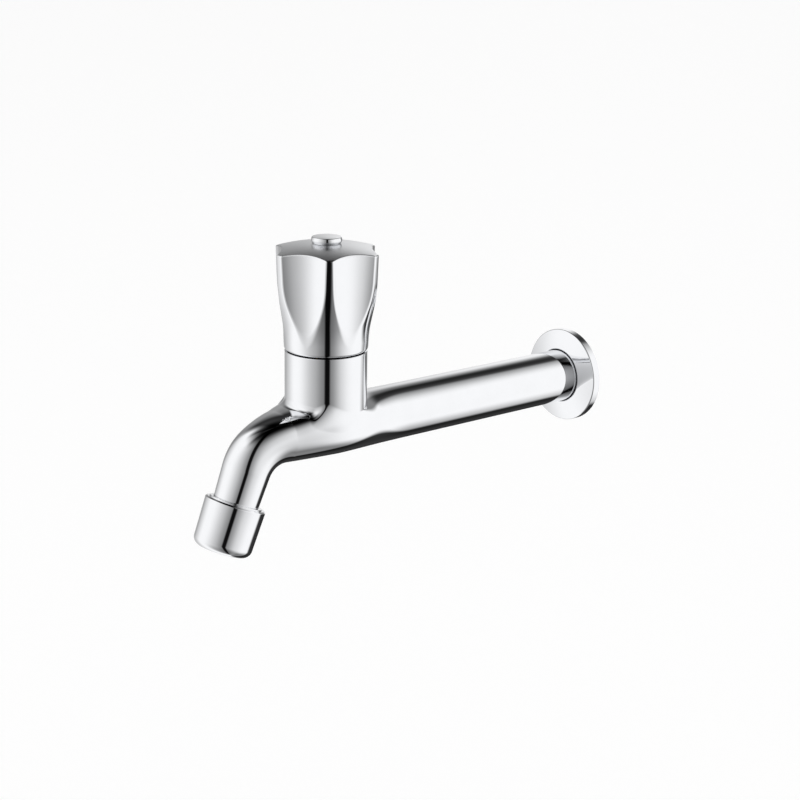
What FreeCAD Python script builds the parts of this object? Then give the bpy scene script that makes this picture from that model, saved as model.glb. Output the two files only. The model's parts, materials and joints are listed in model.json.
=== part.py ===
import FreeCAD, Part
import math
import os

import Sketcher

# Wall-mounted long-body tap with a six-ridged knob, in millimetres.
# The origin is the centre of the barrel's end on the wall, +Y goes into the wall and +Z is up.

# Driving dimensions: every size and clearance is written here once.
DIMENSIONS = {
    # Body casting: barrel, neck and spout.
    "neck_reach": 161.0,
    "barrel_radius": 13.6,
    "neck_radius": 19.5,
    "neck_top": 37.8,
    "neck_edge": 0.4,
    "neck_shoulder": 8.0,
    "neck_blend": 4.0,
    "neck_wall": 4.0,
    "recess_depth": 13.8,
    "spout_run": 26.6,
    "bend_radius": 20.7,
    "spout_fall": 68.1,
    "skirt_length": 18.0,
    "skirt_radius": 10.65,
    "spigot_length": 8.0,
    # Inlet thread, a parallel pipe thread of half-inch size, cut as rings.
    "inlet_length": 13.0,
    "inlet_radius": 10.48,
    "inlet_lead": 1.2,
    "thread_pitch": 1.814,
    "thread_depth": 1.0,
    "thread_mouth": 1.45,
    "thread_start": 1.2,
    "thread_rings": 6,
    # Screwed joints inside are plain, at their thread's pitch radius.
    "headwork_thread": 9.9,
    "spigot_thread": 9.9,
    # Water ways.
    "inlet_bore": 6.75,
    "inlet_land": 7.0,
    "barrel_bore": 10.4,
    "barrel_bore_wall": 9.0,
    "elbow_radius": 5.0,
    "elbow_overrun": 1.0,
    "seat_deck": 2.1,
    "seat_height": 0.5,
    "seat_port": 4.8,
    "chamber_radius": 12.0,
    "chamber_depth": 11.5,
    "spout_way": 5.4,
    "spout_way_lift": 0.5,
    "spout_way_inset": 2.0,
    "spout_bore": 7.2,
    "spout_bore_stop": 1.0,
    # Wall flange.
    "flange_radius": 24.3,
    "flange_height": 4.2,
    "flange_wall": 1.2,
    "flange_edge": 0.7,
    "flange_hole_play": 0.35,
    "grip_wire": 1.25,
    "collar_wall": 1.1,
    "collar_lift": 0.7,
    # Headwork body.
    "cage_lift": 0.5,
    "cage_bore": 8.1,
    "cage_wall": 0.7,
    "window_lift": 0.4,
    "window_height": 4.7,
    "window_width": 9.0,
    "collar_height": 2.2,
    "collar_rim": 1.0,
    "face_groove_width": 2.3,
    "face_groove_depth": 1.7,
    "hex_across": 21.0,
    "hex_height": 6.8,
    "nose_wall": 1.6,
    "nose_height": 11.8,
    # Spindle and its seals.
    "shaft_radius": 5.0,
    "foot_play": 0.4,
    "foot_height": 2.7,
    "tongue_width": 3.0,
    "tongue_length": 12.0,
    "tongue_depth": 1.6,
    "groove_depth": 1.5,
    "groove_width": 2.2,
    "lower_groove": 3.8,
    "groove_spacing": 5.0,
    "clip_lift": 0.1,
    "clip_groove_width": 0.9,
    "clip_groove_depth": 0.7,
    "clip_width": 2.1,
    "clip_mouth": 4.0,
    "clip_land": 1.6,
    "spline_radius": 4.0,
    "spline_length": 9.9,
    "spline_depth": 0.42,
    "spline_teeth": 20,
    "spline_notch_angle": 7.2,
    "spline_gap_mouth": 4.2,
    "spline_gap_root": 8.0,
    "spline_tip_play": 0.12,
    "tapped_hole": 1.85,
    "tapped_runout": 3.0,
    "thrust_thickness": 0.75,
    # Ceramic discs and seat seal.
    "seal_height": 3.0,
    "seal_margin": 0.4,
    "fixed_disc_height": 3.0,
    "moving_disc_height": 3.16,
    "disc_play": 0.35,
    "port_inner": 1.6,
    "port_outer": 6.3,
    "port_half_angle": 36.0,
    # Knob, its heights measured from its foot.
    "knob_gap": 0.45,
    "knob_overhang": 0.25,
    "knob_foot_round": 1.6,
    "waist_height": 10.25,
    "waist_radius": 20.35,
    "shoulder_height": 28.05,
    "shoulder_radius": 25.2,
    "rim_radius": 26.05,
    "dome_rise": 3.45,
    "knob_height": 50.2,
    "flare_round": 45.0,
    "shoulder_round": 60.0,
    "knob_turn": -4.1,
    "flute_radius": 21.5,
    "flute_floor": 20.06,
    "ridges": 6,
    "knob_wall": 4.26,
    "knob_roof": 5.85,
    "hub_radius": 9.2,
    "hub_lift": 0.4,
    "socket_across": 12.0,
    "socket_depth": 12.0,
    "screw_land": 3.0,
    "screw_clearance": 2.3,
    "well_radius": 5.3,
    # Handle insert, screw and cap.
    "insert_headroom": 0.7,
    "screw_radius": 1.8,
    "screw_length": 15.0,
    "screw_head_radius": 3.9,
    "screw_head_height": 2.6,
    "screw_head_round": 0.85,
    "cross_width": 1.0,
    "cross_length": 4.6,
    "cross_depth": 1.6,
    "cap_stem_length": 6.5,
    "cap_stem_wall": 1.2,
    "cap_foot": 0.45,
    "cap_radius": 7.4,
    "cap_swell": 1.8,
    "cap_chamfer": 0.45,
    "cap_shoulder": 2.9,
    "cap_height": 3.4,
    # Aerator, measured from the spout's end along the flow.
    "sleeve_cover": 1.5,
    "sleeve_radius": 14.45,
    "sleeve_chamfer": 0.7,
    "sleeve_rim_height": 0.6,
    "sleeve_rim_wall": 1.7,
    "sleeve_skirt_play": 0.25,
    "sleeve_bottom": 13.2,
    "sleeve_bottom_radius": 13.85,
    "sleeve_round": 4.2,
    "sleeve_lip": 1.4,
    "sleeve_lip_width": 1.0,
    "washer_margin": 0.4,
    "washer_thickness": 1.6,
    "insert_play": 0.2,
    "insert_wall": 1.0,
    "insert_ledge": 0.35,
    "slot_width": 2.4,
    "slot_height": 2.0,
    "air_slots": 8,
    "jet_thickness": 1.8,
    "jet_hole": 0.7,
    "jet_ring": 5.6,
    "jet_holes": 12,
    "screen_thickness": 0.4,
    "screen_hole": 0.65,
    "screen_spacing": 2.0,
    "screen_gap": 0.8,
    "screen_pitch": 3.4,
    "screen_rim": 0.75,
    "grille_thickness": 2.2,
    "grille_hole": 0.95,
    "grille_spacing": 2.3,
    # Clearances.
    "running_fit": 0.05,
    "thread_fit": 0.06,
    "sliding_gap": 0.02,
    "seat_gap": 0.05,
}

doc = FreeCAD.newDocument("LongBodyTap")
sheet = doc.addObject("Spreadsheet::Sheet", "Dims")
for row, (alias, size) in enumerate(DIMENSIONS.items(), 1):
    sheet.set(f"A{row}", alias)
    sheet.set(f"B{row}", str(size))
    sheet.setAlias(f"B{row}", alias)
doc.recompute()

# Lengths that several pieces share, as expressions of the driving dimensions.
BEND_STEPS = 6
CORNER_Y = "(-Dims.spout_run - Dims.bend_radius * tan(Dims.spout_fall / 2))"
BEND_END_Y = "(-Dims.spout_run - Dims.bend_radius * sin(Dims.spout_fall))"
BEND_END_Z = "(-Dims.bend_radius * (1 - cos(Dims.spout_fall)))"
SKIRT_END_Y = f"({BEND_END_Y} - Dims.skirt_length * cos(Dims.spout_fall))"
SKIRT_END_Z = f"({BEND_END_Z} - Dims.skirt_length * sin(Dims.spout_fall))"
SPOUT_END_Y = f"({SKIRT_END_Y} - Dims.spigot_length * cos(Dims.spout_fall))"
SPOUT_END_Z = f"({SKIRT_END_Z} - Dims.spigot_length * sin(Dims.spout_fall))"
FLOW_TILT = "90 + Dims.spout_fall"

# Heights of the valve's stack, from the seat in the body up to the knob's screw.
SEAL_TOP = "(Dims.seat_height + Dims.seal_height)"
FIXED_TOP = f"({SEAL_TOP} + Dims.fixed_disc_height)"
MOVING_LOW = f"({FIXED_TOP} + Dims.sliding_gap)"
MOVING_TOP = f"({MOVING_LOW} + Dims.moving_disc_height)"
FOOT_LOW = f"({MOVING_TOP} + Dims.sliding_gap)"
FOOT_TOP = f"({FOOT_LOW} + Dims.foot_height)"
CAGE_LOW = "(Dims.seat_height + Dims.cage_lift)"
CAGE_ROOF = f"({FOOT_TOP} + Dims.seat_gap + Dims.thrust_thickness)"
COLLAR_LOW = "(Dims.neck_top - Dims.recess_depth)"
COLLAR_TOP = f"({COLLAR_LOW} + Dims.collar_height)"
NOSE_TOP = f"({COLLAR_TOP} + Dims.nose_height)"
CLIP_LOW = f"({NOSE_TOP} + Dims.clip_lift)"
CLIP_TOP = f"({CLIP_LOW} + Dims.clip_groove_width)"
SHAFT_TOP = f"({CLIP_TOP} + Dims.clip_land)"
SPINDLE_TOP = f"({SHAFT_TOP} + Dims.spline_length)"
HUB_LOW = f"({SHAFT_TOP} + Dims.hub_lift)"
SOCKET_TOP = f"({HUB_LOW} + Dims.socket_depth)"
SCREW_FLOOR = f"({SOCKET_TOP} + Dims.screw_land)"
SCREW_TIP = f"({SCREW_FLOOR} - Dims.screw_length)"
KNOB_LOW = "(Dims.neck_top + Dims.knob_gap)"
KNOB_TOP = f"({KNOB_LOW} + Dims.knob_height)"

# Radii that one piece takes from another.
CAGE_OUTSIDE = "(Dims.cage_bore + Dims.cage_wall)"
FOOT_RADIUS = "(Dims.cage_bore - Dims.foot_play)"
FACE_GROOVE = "(Dims.headwork_thread + Dims.face_groove_width)"
SHAFT_HOLE = "(Dims.shaft_radius + Dims.running_fit)"
CLIP_ROOT = "(Dims.shaft_radius - Dims.clip_groove_depth)"
KNOB_FOOT = "(Dims.neck_radius + Dims.knob_overhang)"
KNOB_CAVITY = "(Dims.flute_floor - Dims.knob_wall)"
INSERT_OUTSIDE = "(Dims.spigot_thread - Dims.insert_play)"
INSERT_INSIDE = f"({INSERT_OUTSIDE} - Dims.insert_wall)"

nodes = []


def number(expression):
    """The value of an expression of the sheet."""
    return float(sheet.evalExpression(expression))


def about_x(angle):
    """A placement that only turns about X."""
    return FreeCAD.Placement(FreeCAD.Vector(), FreeCAD.Rotation(FreeCAD.Vector(1, 0, 0), angle))


def new_body(label, at):
    """An empty body on the neck's axis, on the wall or at the spout's end."""
    body = doc.addObject("PartDesign::Body", label)
    body.Label = label
    if at == "neck":
        body.setExpression("Placement.Base.y", "-Dims.neck_reach")
    if at == "wall":
        body.Placement = about_x(90)
    if at == "spout":
        body.Placement = about_x(90)
        body.setExpression("Placement.Base.y", f"{SPOUT_END_Y} - Dims.neck_reach")
        body.setExpression("Placement.Base.z", SPOUT_END_Z)
        body.setExpression("Placement.Rotation.Angle", FLOW_TILT)
    nodes.append(body)
    return body


def origin_item(body, role):
    """One of the planes or axes of a body's origin."""
    return [item for item in body.Origin.OriginFeatures if item.Role == role][0]


def new_sketch(body, name, role="XZ_Plane", shift=None, tilt=None):
    """A sketch on one of its body's origin planes, moved by (x, y, z) and tilted about X if asked."""
    sketch = body.newObject("Sketcher::SketchObject", f"{body.Name}_{name}")
    sketch.AttachmentSupport = [(origin_item(body, role), "")]
    sketch.MapMode = "FlatFace"
    if tilt:
        sketch.AttachmentOffset = about_x(90)
        sketch.setExpression("AttachmentOffset.Rotation.Angle", tilt)
    for axis, expression in zip("xyz", shift or ()):
        sketch.setExpression(f"AttachmentOffset.Base.{axis}", expression)
    return sketch


def fix(sketch, kind, element, point, expression):
    """Ties one coordinate of a point, or a radius, to an expression."""
    if kind == "Radius":
        constraint = Sketcher.Constraint(kind, element, number(expression))
    else:
        constraint = Sketcher.Constraint(kind, -1, 1, element, point, number(expression))
    index = sketch.addConstraint(constraint)
    sketch.setExpression(f"Constraints[{index}]", expression)


def outline(sketch, points, arcs=(), centre="0", closed=True):
    """Lines through points given as expressions. A side listed in arcs bulges about a centre at that x."""
    spots = [FreeCAD.Vector(number(x), number(y), 0) for x, y in points]
    count = len(spots) if closed else len(spots) - 1
    sides = []
    for side in range(count):
        start = spots[side]
        end = spots[(side + 1) % len(spots)]
        if side not in arcs:
            sides.append(sketch.addGeometry(Part.LineSegment(start, end), False))
            continue
        middle_x = number(centre)
        rise = (start.x - middle_x) ** 2 + start.y ** 2 - (end.x - middle_x) ** 2 - end.y ** 2
        middle = FreeCAD.Vector(middle_x, rise / (2 * (start.y - end.y)), 0)
        round_line = Part.Circle(middle, FreeCAD.Vector(0, 0, 1), start.distanceToPoint(middle))
        angles = [math.atan2(spot.y - middle.y, spot.x - middle.x) for spot in (start, end)]
        sides.append(sketch.addGeometry(Part.ArcOfCircle(round_line, *angles), False))
        fix(sketch, "DistanceX", sides[-1], 3, centre)
    for side in range(count):
        following = (side + 1) % count
        if closed or following:
            sketch.addConstraint(Sketcher.Constraint("Coincident", sides[side], 2, sides[following], 1))
        fix(sketch, "DistanceX", sides[side], 1, points[side][0])
        fix(sketch, "DistanceY", sides[side], 1, points[side][1])
    if not closed:
        fix(sketch, "DistanceX", sides[-1], 2, points[-1][0])
        fix(sketch, "DistanceY", sides[-1], 2, points[-1][1])
    return sketch


def round_corner(sketch, side, radius):
    """Rounds the corner at the end of a side with an arc that leaves both sides smoothly."""
    spots = (sketch.Geometry[side].StartPoint, sketch.Geometry[side + 1].EndPoint)
    sketch.fillet(side, side + 1, *spots, number(radius), True, True)
    arcs = [index for index, item in enumerate(sketch.Geometry) if isinstance(item, Part.ArcOfCircle)]
    fix(sketch, "Radius", arcs[-1], None, radius)


def circle(sketch, radius, x="0", y="0"):
    """A circle whose centre and radius are expressions."""
    centre = FreeCAD.Vector(number(x), number(y), 0)
    item = sketch.addGeometry(Part.Circle(centre, FreeCAD.Vector(0, 0, 1), number(radius)), False)
    fix(sketch, "Radius", item, None, radius)
    fix(sketch, "DistanceX", item, 3, x)
    fix(sketch, "DistanceY", item, 3, y)
    return sketch


def box_outline(sketch, width, low, high):
    """A rectangle, centred across and from low to high."""
    half = f"({width}) / 2"
    return outline(sketch, [(f"-{half}", low), (half, low), (half, high), (f"-{half}", high)])


def hexagon(sketch, across):
    """A regular hexagon of that width across its flats."""
    corner = f"({across}) / 2 / cos(30)"
    return outline(sketch, [(f"{corner} * cos({60 * i})", f"{corner} * sin({60 * i})") for i in range(6)])


def feature(body, kind, name, **settings):
    """A feature of the body, whose lengths and radii are expressions."""
    item = body.newObject(f"PartDesign::{kind}", f"{body.Name}_{name}")
    for key, setting in settings.items():
        if key in ("Length", "Radius"):
            setattr(item, key, number(setting))
            item.setExpression(key, setting)
        else:
            setattr(item, key, setting)
    return item


def turn(body, sketch, name="turned"):
    """Turns a profile round the vertical axis of its sketch."""
    return feature(body, "Revolution", name, Profile=sketch, ReferenceAxis=(sketch, ["V_Axis"]), Angle=360)


def cut(body, kind, name, **settings):
    """A feature that takes material away, checked by volume."""
    doc.recompute()
    before = body.Shape.Volume
    item = feature(body, kind, name, **settings)
    doc.recompute()
    if not body.Shape.Volume < before - 1e-6:
        raise ValueError(f"{item.Name} cuts nothing")
    return item


def repeat(body, base, count):
    """Repeats a feature evenly round the body's Z axis."""
    pattern = body.newObject("PartDesign::PolarPattern", f"{body.Name}_pattern")
    pattern.Originals = [base]
    pattern.Axis = (origin_item(body, "Z_Axis"), [""])
    pattern.Angle = 360
    pattern.setExpression("Occurrences", count)
    body.Tip = pattern


def ring_edges(body, radius, height):
    """The names of the circular edges of that radius and height about the body's Z axis."""
    doc.recompute()
    names = []
    wanted = (number(radius), number(height))
    for index, edge in enumerate(body.Shape.Edges, 1):
        if not isinstance(edge.Curve, Part.Circle):
            continue
        local = body.Placement.inverse().multVec(edge.Curve.Center)
        if abs(edge.Curve.Radius - wanted[0]) < 1e-4 and abs(local.z - wanted[1]) < 1e-4:
            names.append(f"Edge{index}")
    return names


def soften(body, name, radius, edge_radius, height):
    """Rounds a circular edge."""
    edges = ring_edges(body, edge_radius, height)
    base = body.Tip
    item = feature(body, "Fillet", name, Radius=radius)
    item.Base = (base, edges)


def turned(label, points, arcs=(), at="neck"):
    """A body made by turning one closed profile of (radius, height) round Z."""
    body = new_body(label, at)
    turn(body, outline(new_sketch(body, "profile"), points, arcs))
    return body


def torus(label, radius, wire, height, at="neck"):
    """An O-ring."""
    body = new_body(label, at)
    turn(body, circle(new_sketch(body, "section"), wire, radius, height))
    return body


def blend_edges(body):
    """The edges where the neck meets the barrel and the spout."""
    doc.recompute()
    shape = body.Shape
    names = []
    for index, edge in enumerate(shape.Edges, 1):
        kinds = []
        for face in shape.ancestorsOfType(edge, Part.Face):
            surface = face.Surface
            round_face = isinstance(surface, Part.Sphere)
            upright = isinstance(surface, Part.Cylinder) and abs(surface.Axis.z) > 0.99
            kinds.append(round_face or upright)
        if kinds.count(True) == 1 and edge.BoundBox.ZMax < number("Dims.barrel_radius + 1"):
            names.append(f"Edge{index}")
    return names


def tap_body():
    """The casting: barrel, neck and spout, with its water ways."""
    body = new_body("tap_body", "neck")
    turn(body, outline(new_sketch(body, "neck"), [
        ("0", "Dims.neck_shoulder - Dims.neck_radius"),
        ("Dims.neck_radius", "Dims.neck_shoulder"),
        ("Dims.neck_radius", "Dims.neck_top - Dims.neck_edge"),
        ("Dims.neck_radius - Dims.neck_edge", "Dims.neck_top"),
        ("0", "Dims.neck_top")], arcs=(0,)), "neck_solid")
    spout_solid(body)
    barrel = circle(new_sketch(body, "barrel_circle"), "Dims.barrel_radius")
    feature(body, "Pad", "barrel", Profile=barrel, Length="Dims.neck_reach", Reversed=True)
    base = body.Tip
    edges = blend_edges(body)
    blend = feature(body, "Fillet", "blend", Radius="Dims.neck_blend")
    blend.Base = (base, edges)
    inlet = circle(new_sketch(body, "inlet_circle"), "Dims.inlet_radius")
    inlet_reach = "Dims.neck_reach + Dims.inlet_length"
    feature(body, "Pad", "inlet", Profile=inlet, Length=inlet_reach, Reversed=True)
    spigot = new_sketch(body, "spigot_circle", "XY_Plane", ("0", SKIRT_END_Y, SKIRT_END_Z), FLOW_TILT)
    circle(spigot, "Dims.spigot_thread")
    feature(body, "Pad", "spigot", Profile=spigot, Length="Dims.spigot_length")
    elbow_height = "(Dims.seat_height - Dims.seat_deck - Dims.elbow_radius)"
    bore_headwork(body, elbow_height)
    bore_inlet(body, elbow_height)
    bore_spout(body)
    cut_inlet_thread(body)


def spout_solid(body):
    """The spout: a cone, a bend and another cone, narrowing evenly along its line."""
    bend = "(Dims.bend_radius * Dims.spout_fall * pi / 180)"
    taper = f"((Dims.barrel_radius - Dims.skirt_radius) / (Dims.spout_run + {bend} + Dims.skirt_length))"
    stations = [station(body, "root", "Dims.barrel_radius", "0", "0", "0")]
    for step in range(BEND_STEPS + 1):
        share = f"({step} / {BEND_STEPS})"
        fall = f"(Dims.spout_fall * {share})"
        radius = f"Dims.barrel_radius - {taper} * (Dims.spout_run + {bend} * {share})"
        y = f"-Dims.spout_run - Dims.bend_radius * sin({fall})"
        z = f"-Dims.bend_radius * (1 - cos({fall}))"
        stations.append(station(body, f"bend_{step}", radius, y, z, fall))
    skirt = station(body, "skirt", "Dims.skirt_radius", SKIRT_END_Y, SKIRT_END_Z, "Dims.spout_fall")
    stations.append(skirt)
    bend_end = BEND_STEPS + 1
    for name, first, last in (("run", 0, 1), ("bend", 1, bend_end), ("drop", bend_end, bend_end + 1)):
        doc.recompute()
        sections = [(section, [""]) for section in stations[first + 1:last + 1]]
        feature(body, "AdditiveLoft", f"spout_{name}", Profile=stations[first], Sections=sections,
                Ruled=len(sections) == 1)


def station(body, name, radius, y, z, fall):
    """A circle across the spout's line, where that line slopes down by the given angle."""
    return circle(new_sketch(body, name, "XY_Plane", ("0", y, z), f"90 + {fall}"), radius)


def bore_headwork(body, elbow_height):
    """The stepped hole down the neck: recess, thread, valve chamber and seat port."""
    chamber_top = "Dims.seat_height + Dims.chamber_depth"
    profile = outline(new_sketch(body, "neck_hole"), [
        ("0", elbow_height),
        ("Dims.seat_port", elbow_height),
        ("Dims.seat_port", "Dims.seat_height"),
        ("Dims.chamber_radius", "Dims.seat_height"),
        ("Dims.chamber_radius", chamber_top),
        ("Dims.headwork_thread + Dims.thread_fit", chamber_top),
        ("Dims.headwork_thread + Dims.thread_fit", COLLAR_LOW),
        ("Dims.neck_radius - Dims.neck_wall", COLLAR_LOW),
        ("Dims.neck_radius - Dims.neck_wall", "Dims.neck_top + 1"),
        ("0", "Dims.neck_top + 1")])
    cut(body, "Groove", "neck_bore", Profile=profile, ReferenceAxis=(profile, ["V_Axis"]), Angle=360)


def bore_inlet(body, elbow_height):
    """The inlet way: along the barrel, then a lower way under the seat."""
    end = "Dims.neck_reach + Dims.inlet_length"
    narrow = "Dims.neck_reach - Dims.inlet_land"
    start = "(Dims.chamber_radius + Dims.barrel_bore_wall)"
    profile = outline(new_sketch(body, "inlet_hole", "YZ_Plane"), [
        (start, "0"), (start, "Dims.barrel_bore"),
        (narrow, "Dims.barrel_bore"), (narrow, "Dims.inlet_bore"),
        (f"{end} + 1", "Dims.inlet_bore"), (f"{end} + 1", "0")])
    cut(body, "Groove", "barrel_way", Profile=profile, ReferenceAxis=(profile, ["H_Axis"]), Angle=360)
    reach = "(Dims.seat_port + Dims.elbow_overrun)"
    elbow = new_sketch(body, "elbow_circle", "XZ_Plane", ("0", "0", reach))
    circle(elbow, "Dims.elbow_radius", "0", elbow_height)
    cut(body, "Pocket", "elbow", Profile=elbow, Length=f"{reach} + {start} + 1")


def bore_spout(body):
    """The outlet way: from the valve chamber, round the bend and down to the spigot."""
    start = "(Dims.chamber_radius - Dims.spout_way_inset)"
    height = "(Dims.seat_height + Dims.spout_way + Dims.spout_way_lift)"
    fall = f"(atan({height} / (-{CORNER_Y} - {start})) / 1deg)"
    turn_angle = f"(Dims.spout_fall - {fall})"
    leg = "(Dims.bend_radius * tan(Dims.spout_fall / 2))"
    bend = f"({leg} / tan({turn_angle} / 2))"
    first_y = f"({CORNER_Y} + {leg} * cos({fall}))"
    first_z = f"({leg} * sin({fall}))"
    spine = outline(new_sketch(body, "way_line", "YZ_Plane"), [
        (f"-{start}", height), (first_y, first_z), (BEND_END_Y, BEND_END_Z)],
        arcs=(1,), centre=f"{first_y} + {bend} * sin({fall})", closed=False)
    mouth = station(body, "way_circle", "Dims.spout_way", f"-{start}", height, fall)
    doc.recompute()
    cut(body, "SubtractivePipe", "spout_way", Profile=mouth, Spine=(spine, []))
    outlet = new_sketch(body, "outlet_circle", "XY_Plane", ("0", SPOUT_END_Y, SPOUT_END_Z), FLOW_TILT)
    circle(outlet, "Dims.spout_bore")
    depth = "Dims.skirt_length + Dims.spigot_length - Dims.spout_bore_stop"
    cut(body, "Pocket", "outlet", Profile=outlet, Length=depth)


def cut_inlet_thread(body):
    """A lead-in chamfer and evenly spaced V rings on the inlet."""
    start = "Dims.neck_reach + Dims.thread_start"
    end = "Dims.neck_reach + Dims.inlet_length"
    lead = outline(new_sketch(body, "lead_corner", "YZ_Plane"), [
        (f"{end} + 1", "Dims.inlet_radius + 1"), (f"{end} - Dims.inlet_lead", "Dims.inlet_radius + 1"),
        (f"{end} - Dims.inlet_lead", "Dims.inlet_radius"), (end, "Dims.inlet_radius - Dims.inlet_lead"),
        (f"{end} + 1", "Dims.inlet_radius - Dims.inlet_lead")])
    cut(body, "Groove", "lead_in", Profile=lead, ReferenceAxis=(lead, ["H_Axis"]), Angle=360)
    half = "Dims.thread_mouth / 2"
    notch = outline(new_sketch(body, "thread_notch", "YZ_Plane"), [
        (start, "Dims.inlet_radius + 0.01"),
        (f"{start} + {half}", "Dims.inlet_radius - Dims.thread_depth"),
        (f"{start} + Dims.thread_mouth", "Dims.inlet_radius + 0.01")])
    ring = cut(body, "Groove", "thread_ring", Profile=notch, ReferenceAxis=(notch, ["H_Axis"]), Angle=360)
    pattern = body.newObject("PartDesign::LinearPattern", f"{body.Name}_thread")
    pattern.Originals = [ring]
    pattern.Direction = (origin_item(body, "Y_Axis"), [""])
    pattern.setExpression("Length", "Dims.thread_pitch * (Dims.thread_rings - 1)")
    pattern.setExpression("Occurrences", "Dims.thread_rings")
    body.Tip = pattern


def wall_flange():
    """The dished cover plate, with a collar that holds the grip ring behind its face."""
    hole = "(Dims.barrel_radius + Dims.flange_hole_play)"
    face_back = "(Dims.flange_height - Dims.flange_wall)"
    collar = "(Dims.barrel_radius + 2 * Dims.grip_wire + 3 * Dims.running_fit)"
    body = turned("wall_flange", [
        ("Dims.flange_radius - Dims.flange_wall", "0"),
        ("Dims.flange_radius", "0"),
        ("Dims.flange_radius", "Dims.flange_height"),
        (hole, "Dims.flange_height"),
        (hole, face_back),
        (collar, face_back),
        (collar, "Dims.collar_lift"),
        (f"{collar} + Dims.collar_wall", "Dims.collar_lift"),
        (f"{collar} + Dims.collar_wall", face_back),
        ("Dims.flange_radius - Dims.flange_wall", face_back)], at="wall")
    soften(body, "edge", "Dims.flange_edge", "Dims.flange_radius", "Dims.flange_height")
    torus("flange_grip_ring", "Dims.barrel_radius + Dims.running_fit + Dims.grip_wire", "Dims.grip_wire",
          f"{face_back} - Dims.grip_wire - 2 * Dims.running_fit", at="wall")


def headwork_body():
    """The brass headwork: cage, thread, collar, hexagon and nose."""
    groove_top = f"{COLLAR_LOW} + Dims.face_groove_depth"
    collar_radius = f"{FACE_GROOVE} + Dims.collar_rim"
    nose = "(Dims.shaft_radius + Dims.nose_wall)"
    body = turned("headwork_body", [
        ("Dims.cage_bore", CAGE_LOW),
        (CAGE_OUTSIDE, CAGE_LOW),
        (CAGE_OUTSIDE, CAGE_ROOF),
        ("Dims.headwork_thread", CAGE_ROOF),
        ("Dims.headwork_thread", groove_top),
        (FACE_GROOVE, groove_top),
        (FACE_GROOVE, COLLAR_LOW),
        (collar_radius, COLLAR_LOW),
        (collar_radius, COLLAR_TOP),
        (nose, COLLAR_TOP),
        (nose, NOSE_TOP),
        (SHAFT_HOLE, NOSE_TOP),
        (SHAFT_HOLE, CAGE_ROOF),
        ("Dims.cage_bore", CAGE_ROOF)])
    flats = hexagon(new_sketch(body, "hexagon", "XY_Plane", ("0", "0", COLLAR_TOP)), "Dims.hex_across")
    circle(flats, f"({nose} + Dims.shaft_radius) / 2")
    feature(body, "Pad", "hexagon_pad", Profile=flats, Length="Dims.hex_height")
    window_low = f"({FIXED_TOP} + Dims.window_lift)"
    windows = box_outline(new_sketch(body, "windows"), "Dims.window_width", window_low,
                          f"{window_low} + Dims.window_height")
    cut(body, "Pocket", "window_cut", Profile=windows, Length=f"4 * {CAGE_OUTSIDE}", Midplane=True)
    torus("headwork_o_ring", f"(Dims.headwork_thread + {FACE_GROOVE}) / 2",
          "(Dims.face_groove_depth - Dims.running_fit) / 2", f"{COLLAR_LOW} + Dims.face_groove_depth / 2")


def spindle():
    """The spindle: foot and tongue, two ring grooves, clip groove, splined top and tapped hole."""
    root = "(Dims.shaft_radius - Dims.groove_depth)"
    lower = f"({CAGE_ROOF} + Dims.lower_groove)"
    grooves = [lower, f"({lower} + Dims.groove_spacing)"]
    groove_points = []
    for low in grooves:
        high = f"{low} + Dims.groove_width"
        groove_points += [("Dims.shaft_radius", low), (root, low)]
        groove_points += [(root, high), ("Dims.shaft_radius", high)]
    tapped_low = f"{SCREW_TIP} - Dims.tapped_runout"
    body = turned("spindle", [
        ("0", FOOT_LOW),
        (FOOT_RADIUS, FOOT_LOW),
        (FOOT_RADIUS, FOOT_TOP),
        ("Dims.shaft_radius", FOOT_TOP),
        *groove_points,
        ("Dims.shaft_radius", CLIP_LOW),
        (CLIP_ROOT, CLIP_LOW),
        (CLIP_ROOT, CLIP_TOP),
        ("Dims.shaft_radius", CLIP_TOP),
        ("Dims.shaft_radius", SHAFT_TOP),
        ("Dims.spline_radius", SHAFT_TOP),
        ("Dims.spline_radius", SPINDLE_TOP),
        ("Dims.tapped_hole", SPINDLE_TOP),
        ("Dims.tapped_hole", tapped_low),
        ("0", tapped_low)])
    tongue = new_sketch(body, "tongue", "XY_Plane", ("0", "0", FOOT_LOW))
    box_outline(tongue, "Dims.tongue_width", "-Dims.tongue_length / 2", "Dims.tongue_length / 2")
    feature(body, "Pad", "tongue_pad", Profile=tongue, Length="Dims.tongue_depth", Reversed=True)
    notch = new_sketch(body, "notch", "XY_Plane", ("0", "0", SPINDLE_TOP))
    outside = "(Dims.spline_radius + 0.1)"
    reach = f"{outside} * tan(Dims.spline_notch_angle)"
    bottom = "Dims.spline_radius - Dims.spline_depth"
    outline(notch, [(bottom, "0"), (outside, f"-{reach}"), (outside, reach)])
    gap = cut(body, "Pocket", "notch_cut", Profile=notch, Length="Dims.spline_length")
    repeat(body, gap, "Dims.spline_teeth")
    for label, low in zip(("spindle_o_ring_lower", "spindle_o_ring_upper"), grooves):
        torus(label, f"{root} + (Dims.running_fit + Dims.groove_depth) / 2", "Dims.groove_depth / 2",
              f"{low} + Dims.groove_width / 2")


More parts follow.
